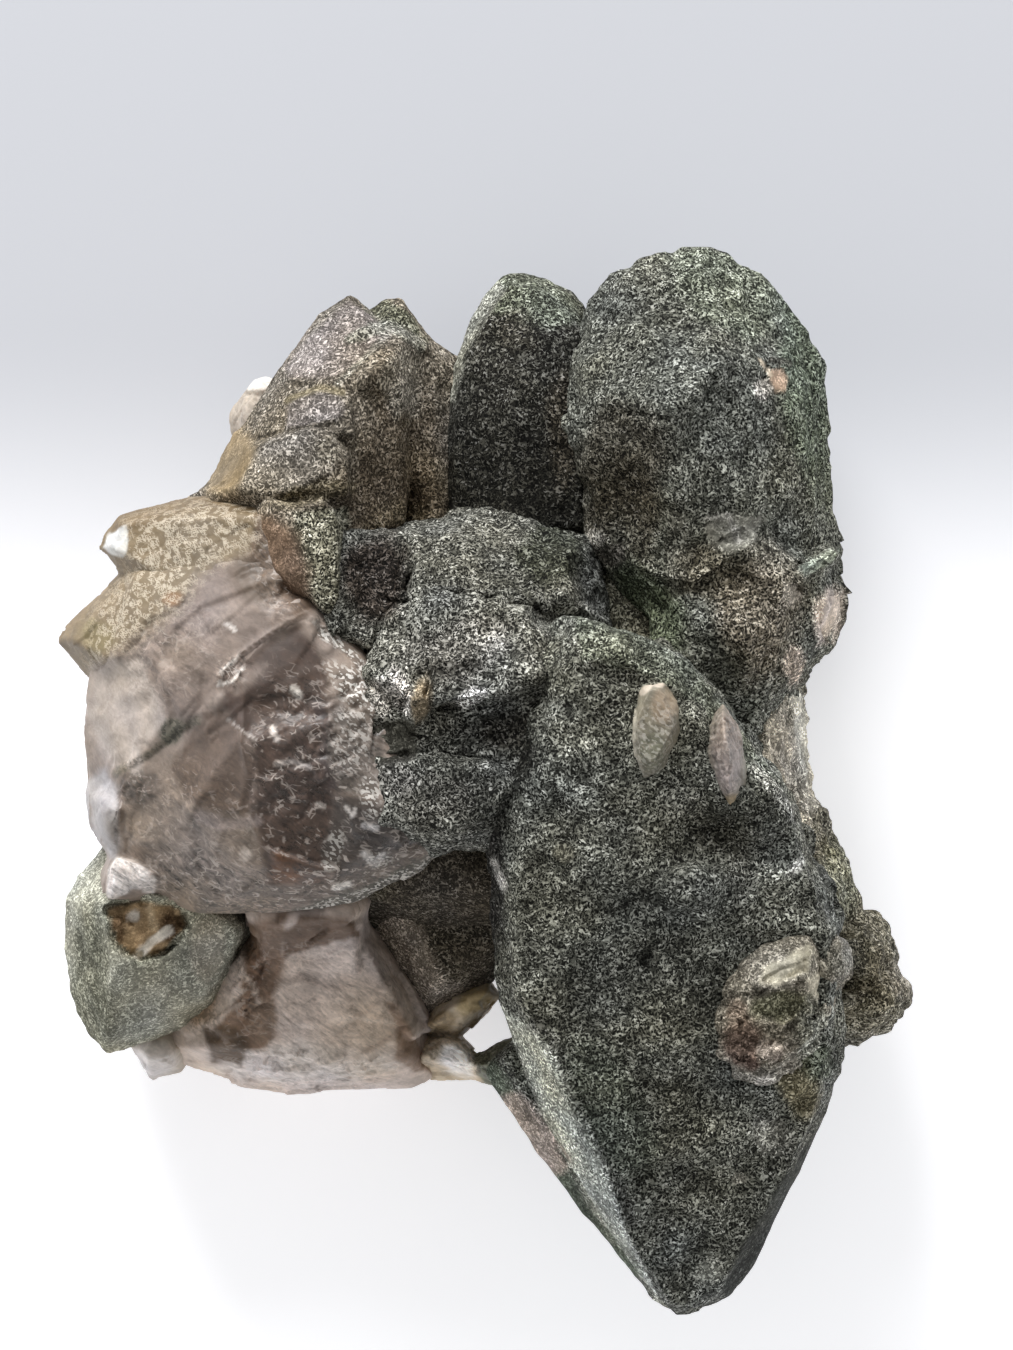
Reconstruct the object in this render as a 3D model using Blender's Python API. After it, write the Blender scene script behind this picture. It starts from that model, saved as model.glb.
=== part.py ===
"""A hand-sized cluster of blunt quartz crystals, dusted all over with grey-green chlorite.

The crystals grew into one another, so they are one solid. The cluster lies on its back, on the flat
cut where it came off its rock: x runs to the right, y along its length and z up off the cut.
Corners are in millimetres. Each crystal, lump or ledge is the convex hull of three rings of corners:
its rim, which is its outline seen from the front; its face, which is the corners of its front
facets; and its back, where the rim is drawn in and set down to a depth, in two steps so that the
hidden side is blunt too.
"""

import bmesh
import bpy

MM = 0.001

# Height of the cut, and how far down the backs of the deep, middling and shallow crystals reach.
CUT_Z = 0.0
DEEP = 5.0
MIDDLE = 8.0
SHALLOW = 12.0

# Share of the way to its middle by which a back is drawn in.
NARROW = 0.42
PLAIN = 0.26
STRAIGHT = 0.10
CUT_FACE = 0.14

# Where the first step of a back lies: its share of the height and of the drawing in.
STEP_HEIGHT = 0.40
STEP_DRAW_IN = 0.30

CHLORITE_GREY = (0.105, 0.115, 0.100, 1.0)
CRUST_ROUGHNESS = 0.75


# The broken mass that carries the crystals; its back is the flat cut that everything rests on.
CORE = dict(
    rim=[
        (-27, -2, 10), (-27, 12, 12), (-21, 22, 12), (-8, 30, 12), (8, 33, 11), (23, 30, 10),
        (27, 12, 11), (25, -8, 12), (20, -16, 13), (6, -15, 13), (-8, -13, 12), (-22, -13, 11),
    ],
    face=[
        (-22, 0, 24), (-20, 16, 22), (-4, 22, 20), (12, 22, 20), (20, 6, 26), (18, -10, 28),
        (6, -10, 28), (-8, -6, 25), (-18, -8, 22),
    ],
    back=CUT_Z,
    draw_in=CUT_FACE,
)

# Two lobes of the same broken mass, which swell out under the left and the right side.
CORE_LOBES = {
    "left_lobe_of_core": dict(
        rim=[(-30, 2, 14), (-29, 12, 16), (-22, 20, 15), (-14, 12, 14), (-14, -10, 14), (-27, -9, 13)],
        face=[(-27, 3, 23), (-25, 11, 24), (-18, 4, 26), (-22, -7, 21)],
        back=3.0,
        draw_in=NARROW,
    ),
    "right_lobe_of_core": dict(
        rim=[(14, 14, 10), (26, 11, 9), (26.5, 0, 9), (27, -12, 10), (24, -20, 12), (12, -18, 13)],
        face=[(16, 10, 22), (24, 6, 18), (25, -8, 19), (18, -14, 24)],
        back=2.0,
        draw_in=NARROW,
    ),
}

# The great crystal at the lower right, whose point is down and away from the others.
GREAT_CRYSTAL = {
    "great_crystal": dict(
        rim=[
            (6.5, 13.4, 33), (12.5, 12.9, 34), (17, 10.1, 33), (20.3, 6.3, 32.5), (25.3, -1.5, 30),
            (29, -9.5, 27.5), (30.1, -14.5, 25), (29.9, -25.3, 21), (27.5, -31, 19.5),
            (22.8, -41, 17.5), (20.5, -44, 17.5), (17, -45.6, 18), (15.7, -45.4, 19),
            (11.8, -40.7, 20), (5, -29, 24), (1.8, -21.5, 27), (0.3, -15.5, 29), (1.3, -9, 31),
            (0.5, -3, 33),
        ],
        face=[
            (7.5, 14, 37.6), (12.5, 12.6, 37.8), (17, 9.8, 36.8), (20, 6, 35.8), (8, 10.2, 40),
            (12, 10, 40.4), (14, 8.7, 40), (19, 3.5, 38.4), (24.3, -1.5, 35.8), (27.8, -9.5, 32.8),
            (28.8, -16, 30.6), (28.4, -25, 28), (27.3, -29.3, 26.8), (23.5, -36.5, 25),
            (19.3, -43.3, 23), (15.5, -44.4, 23.4), (12.5, -39.5, 26.8), (7.2, -27, 31.6),
            (3.2, -19, 34), (2.6, -9, 36.8), (4.5, 4, 39), (13, -8, 37.2), (17, -22, 33),
        ],
        back=MIDDLE,
        draw_in=NARROW,
    ),
    "great_crystal_flank": dict(
        rim=[
            (-0.3, -24.6, 16), (2.5, -28, 15.5), (4.5, -30.5, 15), (7.1, -35.8, 14.5),
            (10, -38.5, 14.5), (14, -43.5, 14.5), (16.3, -45.2, 15), (20, -40, 16), (14, -20, 16),
            (4, -20.5, 18),
        ],
        face=[(1.6, -23.6, 21), (5.2, -29.8, 20), (9, -36, 19), (14.2, -43, 18.5)],
        back=10.0,
        draw_in=NARROW,
    ),
}

# Small crystals and lumps that grew on the great crystal's face.
ON_GREAT_CRYSTAL = {
    "spindle_left": dict(
        rim=[
            (13, 8.2, 38), (14.8, 8.6, 38), (15.8, 6.8, 38), (16.1, 4.5, 37.6), (15.3, 2.5, 37.6),
            (14.6, 1.2, 37.4), (13.2, 0.3, 37.4), (12.3, 1.5, 37.6), (12.2, 4, 38), (12.7, 6.2, 38),
        ],
        face=[(14, 7.6, 40.8), (14.6, 5, 41.4), (13.7, 2.2, 40.8), (12.9, 5, 40.8), (15.3, 4.6, 40.4)],
        back=35.0,
        draw_in=STRAIGHT,
    ),
    "spindle_right": dict(
        rim=[
            (19.8, 6.5, 36), (20.9, 4.8, 36), (21.3, 2.5, 36), (21.6, 0, 36), (21.2, -1.5, 36),
            (20.5, -2.3, 36), (19.6, -1, 36), (18.8, 0.8, 36), (18.3, 2.5, 36), (18.6, 4.8, 36),
        ],
        face=[(19.8, 5.4, 38.8), (20, 2.4, 40.2), (20.3, -0.8, 39.2)],
        back=33.0,
        draw_in=STRAIGHT,
    ),
    "cluster_cap": dict(
        rim=[
            (20.4, -18.6, 30), (21, -16.6, 30), (23, -14.6, 30), (27.3, -13.5, 28), (28, -17, 28),
            (27, -19.5, 28),
        ],
        face=[(22.6, -17.3, 35.8), (25.2, -15.6, 35.6), (26.9, -15, 34.2), (26.8, -17.4, 34.2)],
        back=26.0,
        draw_in=STRAIGHT,
    ),
    "cluster_middle": dict(
        rim=[
            (19.5, -20.4, 30), (21.5, -18.2, 31), (26, -18, 29), (29.4, -19, 26), (29, -22, 26),
            (26.5, -23.8, 27), (21, -23, 29),
        ],
        face=[(21.3, -20.4, 35), (24, -19.6, 35.4), (27.8, -20, 32.4), (25.6, -22, 33.6)],
        back=25.0,
        draw_in=STRAIGHT,
    ),
    "cluster_foot": dict(
        rim=[
            (20.5, -22.5, 29), (24, -21.6, 30), (27.2, -23.4, 27), (24.5, -25.6, 27), (22, -25, 28),
        ],
        face=[(21.9, -23.3, 33.6), (24.4, -23.3, 33.4), (24.1, -24.7, 32)],
        back=26.0,
        draw_in=STRAIGHT,
    ),
    "round_lump": dict(
        rim=[(28, -15.2, 24), (29, -13.6, 24), (30.7, -14, 24), (31, -15.8, 24), (29.6, -16.5, 24)],
        face=[(29, -15.4, 30.6), (29.9, -14.6, 29.6), (30.1, -15.6, 29)],
        back=22.0,
        draw_in=STRAIGHT,
    ),
    "swell": dict(
        rim=[(12, -10, 35), (14, -5.4, 35), (19, -5, 34), (23.6, -8, 32), (20, -13, 32)],
        face=[(16.2, -7.6, 38.2), (19.8, -7.8, 37), (17.4, -10.4, 37)],
        back=30.0,
        draw_in=STRAIGHT,
    ),
    "shoulder": dict(
        rim=[(16, 3, 35), (20, 2.4, 35), (25.4, -2.6, 32), (23.6, -5, 32), (17, -2.4, 34)],
        face=[(19, 1, 39), (22.2, -1.2, 37.8), (24, -3, 36), (20, -1.8, 38)],
        back=30.0,
        draw_in=STRAIGHT,
    ),
}

# The broad crystal at the top right, with a blunt crown and a brow across its front.
DOME = {
    "dome": dict(
        rim=[
            (7.6, 38.5, 20), (8.3, 40.6, 20.5), (10.5, 43.2, 20.5), (13.3, 44.5, 20.5),
            (16.5, 45.2, 20), (18.2, 45.6, 19.5), (20.5, 44.5, 19), (24, 42.3, 18.5), (27, 39, 18),
            (28.5, 36, 17.5), (28.9, 30, 17), (29.4, 22, 16.5), (29, 13.5, 15), (26.5, 10.8, 15),
            (14, 12, 20), (8.5, 21, 20), (7, 31, 20),
        ],
        face=[
            (8.8, 38.5, 24.5), (12, 42.5, 24), (17, 43.8, 23), (22, 42, 22), (26, 37.5, 21),
            (8.3, 31.5, 28), (15.6, 31.2, 33), (20, 36, 30), (24, 34.5, 27), (8.8, 26, 27.5),
            (10, 20, 26), (15.5, 26.5, 33), (17, 21, 31.5), (22, 24, 29.5), (27, 26, 23.5),
            (24, 14, 26), (18, 12, 28), (27.5, 16, 21),
        ],
        back=DEEP,
        draw_in=NARROW,
    ),
    "brow": dict(
        rim=[(7.1, 36, 24), (7.2, 31, 25), (15, 29.6, 28), (20, 33.6, 26), (16, 40, 22), (9, 40, 22)],
        face=[(8.4, 35.6, 26.8), (8.8, 32.2, 28.8), (14.6, 31.4, 34), (18.6, 34.6, 32.2), (13, 38.8, 28.4)],
        back=20.0,
        draw_in=STRAIGHT,
    ),
    "dome_foot": dict(
        rim=[
            (13, 17.5, 24), (20, 20.5, 25), (29.8, 20, 16), (29.6, 15, 15), (28, 12, 14),
            (26.6, 8, 14), (22, 5.5, 24), (15, 10, 27),
        ],
        face=[(17.5, 16.5, 30.4), (21.6, 19, 30.2), (26, 17.6, 26), (22, 11.6, 30.6), (25.4, 9.6, 24)],
        back=SHALLOW,
        draw_in=STRAIGHT,
    ),
    "edge_blade": dict(
        rim=[(25.2, 16.8, 22), (29.2, 19.9, 17), (30.3, 19.7, 16), (29.6, 18.2, 16), (26, 16.2, 22)],
        face=[(26.2, 17.2, 27), (29.3, 19.2, 23)],
        back=14.0,
        draw_in=STRAIGHT,
    ),
    "edge_chip": dict(
        rim=[(27, 15.4, 15), (29.8, 15.9, 14), (29.7, 14.2, 14), (28.3, 12, 14), (26.6, 12.4, 15)],
        face=[(27.6, 15, 21.4), (29, 14.8, 20), (27.8, 13, 20)],
        back=MIDDLE,
        draw_in=STRAIGHT,
    ),
}

# The narrow crystal set back between the dome and the left spire.
FINGER = {
    "finger": dict(
        rim=[
            (-4, 21, 15), (-3.9, 30, 15), (-3.1, 35, 15), (-1.4, 39.5, 14.5), (0.3, 42, 14),
            (1.7, 43.5, 14), (3.9, 43.4, 14), (7.3, 41.7, 14), (10, 38, 14), (10, 20, 15),
        ],
        face=[
            (-2.8, 21, 20), (-2.7, 30, 20.5), (-2, 36, 20), (-0.1, 39.2, 20), (1.9, 42.2, 18),
            (4.8, 41.6, 19), (8, 38, 21), (8, 22, 23), (2.2, 21, 24), (2.2, 32, 23.5), (2.8, 38, 22),
        ],
        back=DEEP,
        draw_in=PLAIN,
    ),
}

# The stepped spire of blunt crystals at the upper left.
SPIRE = {
    "spire": dict(
        rim=[
            (-11.8, 41.6, 17), (-14.2, 39.8, 17.5), (-16.2, 36.6, 18), (-18.5, 32.4, 19),
            (-21.4, 29.6, 19), (-22.9, 26.5, 19), (-21, 20, 18), (-10, 18, 17), (-5.5, 30, 16),
            (-6, 37, 16), (-10.2, 40.4, 17),
        ],
        face=[
            (-11.9, 40.8, 19.5), (-10.3, 38.8, 22.5), (-14.8, 37.6, 22), (-8.2, 36, 25),
            (-12.8, 33.5, 28), (-17, 33, 24.5), (-12, 28, 29), (-19, 28, 26), (-11.5, 20, 29),
            (-7.5, 23, 24),
        ],
        back=DEEP,
        draw_in=NARROW,
    ),
    "spire_rear_tip": dict(
        rim=[
            (-10.4, 40, 15), (-9, 41.1, 15.5), (-7.5, 41.2, 15.5), (-6.5, 39.7, 15),
            (-5.2, 37.3, 15), (-4.4, 35.8, 15), (-3.2, 34.9, 14.5), (-3.2, 20, 14), (-10, 20, 14),
        ],
        face=[
            (-8.8, 39.8, 18.5), (-7.2, 40, 18.2), (-5.8, 37, 18.5), (-4.8, 34.5, 18),
            (-4.6, 22, 19), (-7, 30, 21), (-8, 38, 20),
        ],
        back=6.0,
        draw_in=STRAIGHT,
    ),
    "spire_shoulder": dict(
        rim=[
            (-10.8, 38.4, 19), (-9, 39.2, 19), (-6.9, 38.9, 18.5), (-5.9, 37.4, 18.5),
            (-6.2, 33, 19), (-7, 27, 20), (-11, 27, 22),
        ],
        face=[(-9.8, 37.6, 23.8), (-7.4, 37.4, 23), (-8.3, 35.8, 26.4), (-7.4, 33, 25), (-11, 33.8, 28.4)],
        back=14.0,
        draw_in=STRAIGHT,
    ),
    "first_ledge": dict(
        rim=[(-17.2, 32.8, 22), (-14, 33.9, 23), (-11.3, 33.4, 23), (-10.8, 29, 24), (-17.5, 29, 22)],
        face=[
            (-16.4, 32.2, 28), (-14, 33, 28.8), (-11.9, 32.6, 29.2), (-11.7, 29.5, 30.4),
            (-16.8, 29.5, 29.2),
        ],
        back=17.0,
        draw_in=STRAIGHT,
    ),
    "second_ledge": dict(
        rim=[
            (-21.6, 28.8, 20), (-17.3, 30, 23), (-14.8, 30.7, 24), (-12.8, 30, 24.5),
            (-11.4, 28, 25), (-11.2, 23, 26), (-13, 21, 26), (-23.4, 24.4, 21),
        ],
        face=[
            (-19.5, 28.2, 28.4), (-15, 29.8, 31.4), (-13.3, 29.1, 31.6), (-12.1, 27.5, 31.6),
            (-12.2, 24.6, 32.2), (-20.8, 25.2, 29.4),
        ],
        back=17.0,
        draw_in=STRAIGHT,
    ),
    "flange": dict(
        rim=[
            (-18.5, 24.2, 25), (-13.5, 24.6, 26), (-12.1, 22.5, 27), (-11.9, 18, 28),
            (-12, 15.3, 28), (-13.5, 13.3, 28), (-16, 15, 27), (-19, 21, 26),
        ],
        face=[
            (-17.5, 23.3, 32), (-13.8, 23.6, 33), (-12.8, 21.8, 33.4), (-12.8, 16, 34),
            (-13.6, 14.6, 33.8), (-15.2, 16.5, 34), (-15.8, 20, 33.6),
        ],
        back=17.0,
        draw_in=STRAIGHT,
    ),
    "olive_face": dict(
        rim=[
            (-21.5, 29.9, 18), (-22.6, 28.2, 17.5), (-23.2, 26.4, 17.5), (-24.4, 24, 18),
            (-20, 21, 19), (-18, 30.6, 19),
        ],
        face=[(-21, 28.8, 21.5), (-19, 29.5, 22.5), (-22.4, 25.8, 22), (-20.3, 26, 23.5)],
        back=SHALLOW,
        draw_in=STRAIGHT,
    ),
    "white_crystal": dict(
        rim=[
            (-22, 29.8, 12.5), (-22, 31.5, 12.5), (-21, 33.1, 13), (-20, 34.4, 13.5), (-19, 34.6, 13.5),
            (-17, 33.7, 13.5), (-15, 27, 14), (-20, 25, 13),
        ],
        face=[(-21, 31, 15.6), (-19.8, 33.3, 16.2), (-18.6, 33.5, 16.4), (-18.2, 29, 17.4)],
        back=9.0,
        draw_in=STRAIGHT,
    ),
}

# The golden arms at the left, two crystals that lie over to that side.
ARMS = {
    "upper_arm": dict(
        rim=[
            (-24.4, 23.9, 22), (-25.6, 24.2, 22), (-31.4, 22.6, 22), (-32.6, 21.1, 21.5),
            (-33.1, 19.9, 21.5), (-31, 18.7, 21), (-27, 12, 22), (-18, 12, 24), (-14.5, 20, 26),
            (-17.5, 24.4, 25),
        ],
        face=[
            (-31.2, 21.8, 24), (-32.3, 20, 23.4), (-25, 22.4, 27.6), (-18.6, 22.6, 31),
            (-16.6, 18, 32.2), (-22, 14, 31), (-29.4, 18.6, 26),
        ],
        back=15.0,
        draw_in=PLAIN,
    ),
    "lower_arm": dict(
        rim=[
            (-36.6, 12, 19.5), (-35.6, 13.6, 20), (-34, 14.9, 20.5), (-33, 15.6, 21),
            (-31.2, 18, 21.5), (-24, 18, 24), (-22, 10, 24), (-33.8, 8.6, 20), (-35.1, 10.5, 19.5),
        ],
        face=[
            (-35.4, 12.1, 22), (-33.2, 14.4, 23), (-30, 16, 26), (-25.6, 15, 29.6),
            (-25.4, 11.6, 30.4), (-32.6, 10.6, 25.4),
        ],
        back=13.0,
        draw_in=PLAIN,
    ),
}

# The broken, see-through quartz on the left, with shell-like fracture faces.
BROKEN_QUARTZ = {
    "break_top": dict(
        rim=[
            (-34, 9, 21), (-30, 12.6, 24), (-24, 16.6, 26), (-19, 19, 28), (-14.6, 16.6, 29),
            (-12, 12, 30), (-11, 5, 31), (-22, 3, 30), (-34.4, 4.6, 21),
        ],
        face=[
            (-19.6, 15, 33), (-15.4, 13.4, 34.2), (-14, 8, 35), (-19.4, 7.6, 34.6),
            (-24.4, 9.6, 32.4), (-30, 7.6, 28.4),
        ],
        back=16.0,
        draw_in=PLAIN,
    ),
    "break_centre": dict(
        rim=[
            (-24, 6, 30), (-12, 9, 32), (-8, 6, 33), (-6, 1, 33), (-3, -5, 31), (-6, -7.6, 29),
            (-11, -10, 27), (-18, -11.2, 25.6), (-25, -11.2, 25), (-28, -6, 26), (-27, 2, 27),
        ],
        face=[
            (-21, 3.6, 34.8), (-13.4, 5, 36.2), (-10, -1.6, 36), (-8, -5, 34.4), (-14, -8, 32.6),
            (-21.6, -6.6, 32), (-24.4, -1, 32.6),
        ],
        back=17.0,
        draw_in=PLAIN,
    ),
    "break_left": dict(
        rim=[
            (-34, 8.2, 20), (-34.5, 5, 20), (-33.6, 2, 20.5), (-33.6, -1, 20.5), (-33.9, -2.4, 20.5),
            (-33.2, -4.6, 20.5), (-31.4, -8, 21), (-25, -11, 23), (-20, -4, 26), (-22, 7, 26),
        ],
        face=[(-31.6, 5.4, 26), (-31.2, 0, 26.2), (-30, -5, 26.4), (-25, -5.6, 30), (-25.6, 3, 31)],
        back=SHALLOW,
        draw_in=PLAIN,
    ),
    "left_lobe": dict(
        rim=[(-34.4, -0.6, 19), (-34, -3.8, 19), (-31.8, -7, 20), (-30.6, -3, 22), (-31.6, 0.8, 21)],
        face=[(-32.8, -1.6, 25.6), (-32.2, -4.4, 25.6), (-31.2, -2.4, 27.2)],
        back=15.0,
        draw_in=STRAIGHT,
    ),
    "bright_facet": dict(
        rim=[(-33.4, -8.4, 18), (-31.8, -5.6, 21), (-27.4, -7, 22), (-27.6, -10.6, 20), (-32.8, -10.8, 18)],
        face=[(-31.6, -6.6, 26.4), (-28.2, -7.9, 27), (-32.2, -9.8, 24.6)],
        back=14.0,
        draw_in=STRAIGHT,
    ),
}

# The stepped block in the middle: three growth ledges, each nearer the front than the last.
MIDDLE_BLOCK = {
    "ledge_a": dict(
        rim=[
            (-8.5, 20.3, 22), (-6, 21.8, 22), (-2, 22.1, 22), (0, 21, 22), (5, 20.5, 22),
            (8.2, 20.1, 22), (10, 13, 25), (-10, 13, 25), (-9.5, 18, 23),
        ],
        face=[
            (-6.5, 20.6, 28.4), (-2, 21.2, 29), (1, 20, 29.4), (6.6, 19.2, 29), (6.6, 15.8, 32.4),
            (0, 15.8, 33.2), (-6.5, 16.2, 32.6),
        ],
        back=16.0,
        draw_in=STRAIGHT,
    ),
    "ledge_b": dict(
        rim=[
            (-10.6, 12, 28), (-8.5, 15.8, 28), (-3, 16.8, 29), (5, 15.5, 30), (6.8, 12, 30),
            (5.4, 8, 32), (-9, 7.5, 31),
        ],
        face=[
            (-8.5, 13.2, 33), (-4, 15, 34.6), (3, 14.2, 35.2), (4.3, 9, 37.8), (0, 7.4, 38.6),
            (-3, 6.7, 38.4), (-8, 8.3, 36.6), (-10, 9.5, 34),
        ],
        back=22.0,
        draw_in=STRAIGHT,
    ),
    "block_band": dict(
        rim=[(-12, 8, 26), (6, 8, 28), (3.6, 0, 30), (1, -3, 31), (-9, -6, 27), (-13, 0, 27)],
        face=[(-9.8, 7, 34.2), (3.6, 7, 35.4), (2, 1, 35), (-3, 2, 35), (-9.5, 1, 34)],
        back=18.0,
        draw_in=STRAIGHT,
    ),
    "ledge_c": dict(
        rim=[
            (-10.4, 1.9, 30), (-5, 2.5, 31), (0, 1.9, 32), (2.5, 0, 33), (1.3, -3, 33),
            (0.1, -4.3, 32.5), (-5.2, -6.4, 30), (-10.6, -5, 29),
        ],
        face=[
            (-9.3, 1.2, 35.8), (-5, 1.7, 36.8), (0.3, 1, 37.8), (1.2, -0.8, 38.2), (0, -3.2, 37.4),
            (-3.5, -3.6, 37.2), (-9, -3, 36.2),
        ],
        back=24.0,
        draw_in=STRAIGHT,
    ),
    "tan_crystal": dict(
        rim=[(-6.6, 9.4, 33), (-4.6, 9.8, 33), (-4.4, 8, 33), (-5.8, 4, 33), (-7, 6, 33)],
        face=[(-5.4, 8.8, 38), (-6, 6.2, 38), (-5.8, 4.8, 36.6)],
        back=30.0,
        draw_in=STRAIGHT,
    ),
}

# The grey-green crystal at the lower left and the quartz below the middle block.
LOWER_LEFT = {
    "lower_left_crystal": dict(
        rim=[
            (-32.8, -5, 16), (-35, -8.3, 16), (-36.1, -10, 16), (-36.3, -13.5, 15.5),
            (-35.5, -18, 15), (-34, -21.5, 14.5), (-32.5, -23, 14.5), (-29, -22.4, 14),
            (-22.6, -20, 13), (-19.6, -12, 14), (-24, -7, 16),
        ],
        face=[
            (-32.2, -10.5, 24), (-34.4, -11, 21), (-31.5, -16, 23.4), (-34, -18, 19.4),
            (-32.4, -21.6, 18.6), (-24, -18, 19.6), (-21.6, -12.6, 21), (-26, -9.5, 24.2),
        ],
        back=4.0,
        draw_in=NARROW,
    ),
    "bottom_plate": dict(
        rim=[
            (-21, -12, 12), (-15, -11, 13), (-10.5, -12, 13), (-9, -15.5, 12), (-7, -18.5, 12),
            (-5.5, -21, 11.5), (-4.6, -25.4, 10), (-6.5, -26.4, 10), (-10, -26.1, 10),
            (-17.5, -26.7, 10), (-21, -26, 10), (-26.5, -24.2, 10), (-29, -23, 10.5), (-25, -18, 11),
        ],
        face=[
            (-19, -13, 20), (-11.5, -13.5, 20.6), (-8.6, -19, 19), (-7, -23.5, 16.4), (-14, -24, 18),
            (-22.6, -22.6, 17.4), (-20.5, -18, 19.6),
        ],
        back=3.0,
        draw_in=NARROW,
    ),
    "dark_crystal": dict(
        rim=[
            (-11, -10, 15), (-5, -5, 17), (3, -4, 17), (2.4, -14, 15), (0.2, -17.6, 13),
            (-2, -18.4, 12.5), (-5.4, -20.6, 11.5), (-10, -14, 13),
        ],
        face=[(-8.6, -10.6, 18.6), (-4, -6, 21), (1.4, -7, 21), (0.4, -14, 18.6), (-4.6, -17.6, 17)],
        back=4.0,
        draw_in=NARROW,
    ),
    "rim_crystal": dict(
        rim=[
            (-6.4, -21.6, 10), (-4.4, -18.6, 12), (0, -17, 13), (1, -18.4, 13), (-1.4, -20.6, 11),
            (-2.6, -22.2, 10),
        ],
        face=[(-4.6, -20.6, 15.4), (-3, -19.2, 16.4), (-0.2, -18, 16.2), (-2.6, -20.6, 15)],
        back=6.0,
        draw_in=STRAIGHT,
    ),
    "bridge": dict(
        rim=[
            (-7, -22, 8), (-3, -21.6, 10), (-1.9, -22.5, 11), (-0.9, -23.5, 12), (1.5, -22.2, 14),
            (3.4, -21.8, 15), (3, -27, 14), (0, -25.3, 12), (-1.8, -25.4, 10), (-6, -25.6, 8),
        ],
        face=[(-4, -23, 13.4), (-1, -24.2, 14.4), (1.8, -23.6, 17.6), (-5.6, -23.6, 14)],
        back=7.0,
        draw_in=STRAIGHT,
    ),
    "clear_foot": dict(
        rim=[
            (-30.6, -22.7, 10), (-29, -25.6, 9), (-26.3, -25, 9), (-24, -21.6, 10), (-28, -19.6, 12),
        ],
        face=[(-29, -23.6, 13.6), (-27.4, -23.6, 14)],
        back=7.0,
        draw_in=STRAIGHT,
    ),
}

# The knobbly ridge that shows behind the great crystal's right side.
REAR_RIDGE = {
    "ridge_top": dict(
        rim=[
            (26.9, 10, 11), (26.8, 8.8, 11), (25.9, 7, 11), (26.7, 4, 11), (27.5, 0.4, 11),
            (27.2, -2, 11), (18, -4, 13), (17, 9, 15),
        ],
        face=[(24.6, 8.4, 20), (24.8, 4, 21.4), (25.6, 0, 22), (21, 4, 25)],
        back=5.0,
        draw_in=PLAIN,
    ),
    "ridge_knob": dict(
        rim=[(27.2, -0.8, 11), (28.4, -2.6, 11), (29.1, -4.9, 11), (27, -9, 12), (22, -5, 13)],
        face=[(27, -2.6, 19.6), (27.8, -4.8, 20), (26, -5, 23)],
        back=6.0,
        draw_in=PLAIN,
    ),
    "ridge_middle": dict(
        rim=[
            (28.6, -4, 11), (30.1, -6, 11), (30.9, -8, 11), (31.8, -10.9, 11), (31, -14, 11),
            (25, -15, 13), (24, -6, 13),
        ],
        face=[(28.6, -6.6, 20), (30, -9, 18.6), (30.2, -12, 18.4), (27.6, -11, 23)],
        back=6.0,
        draw_in=PLAIN,
    ),
    "ridge_end_upper": dict(
        rim=[
            (30.6, -11.2, 10), (33.1, -11.4, 10), (34.2, -13.2, 10), (35.2, -15, 10), (34.6, -17.6, 10),
            (27, -18, 11),
        ],
        face=[(32.2, -12.6, 17), (34, -14.6, 16.6), (33.2, -16.6, 18), (30, -15, 20)],
        back=6.5,
        draw_in=PLAIN,
    ),
    "ridge_end_lower": dict(
        rim=[
            (34.8, -15, 9), (36.6, -17.7, 9), (36.2, -19.1, 9), (34.5, -21.1, 9), (32, -21.6, 9.5),
            (29.8, -22.6, 10), (26, -18, 11), (31, -15, 10),
        ],
        face=[(34.6, -17, 15.8), (35.3, -18.5, 14.8), (33.4, -20, 15.8), (31, -18.4, 18.4)],
        back=7.0,
        draw_in=PLAIN,
    ),
}

# Places where the surface dips: chips, hollows and the scoops of the fractures.
HOLLOWS = {
    "great_crystal_hollow": dict(
        rim=[(16.6, -3, 38.6), (20, -2, 39), (25, -5.4, 36), (23, -7.2, 36.4), (17.6, -5.6, 38.6)],
        face=[(20, -4, 42), (22, -5.4, 41)],
        back=34.4,
        draw_in=NARROW,
    ),
    "window": dict(
        rim=[
            (-32.4, -11.4, 25.4), (-30, -9.8, 26), (-27, -10.4, 26.4), (-25, -11.6, 26.4),
            (-26.6, -14.6, 26), (-29.6, -16.2, 25.6), (-31.6, -15.4, 25.4),
        ],
        face=[(-29, -13, 29)],
        back=21.4,
        draw_in=NARROW,
    ),
    "dome_chip": dict(
        rim=[(22.4, 32.2, 30), (23.4, 35.4, 29), (25.6, 35, 28), (25.8, 32.8, 28.4)],
        face=[(24, 34, 33)],
        back=25.6,
        draw_in=NARROW,
    ),
    "shell_scoop": dict(
        rim=[(-23, 8.6, 37), (-20.4, 11, 37), (-16.4, 12.6, 38), (-16, 9.6, 39), (-20, 6.8, 38)],
        face=[(-19, 9.6, 42)],
        back=32.4,
        draw_in=NARROW,
    ),
    "square_facet": dict(
        rim=[(-10.2, 5.4, 40), (-6.4, 5.4, 40), (-5.4, 2.4, 40), (-9.2, 1.9, 40)],
        face=[(-8, 3.8, 42)],
        back=32.8,
        draw_in=STRAIGHT,
    ),
}


def drawn_in(rim, share, depth):
    """The rim moved a share of the way to its own middle and set at one depth."""
    middle_x = sum(corner[0] for corner in rim) / len(rim)
    middle_y = sum(corner[1] for corner in rim) / len(rim)
    keep = 1 - share
    return [
        (middle_x + (x - middle_x) * keep, middle_y + (y - middle_y) * keep, depth)
        for x, y, _ in rim
    ]


def back_rings(rim, back, draw_in):
    """The two rings of corners behind a rim: a slight step, then the full depth."""
    rim_height = sum(corner[2] for corner in rim) / len(rim)
    step_height = back + (rim_height - back) * STEP_HEIGHT
    return drawn_in(rim, draw_in * STEP_DRAW_IN, step_height) + drawn_in(rim, draw_in, back)


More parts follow.
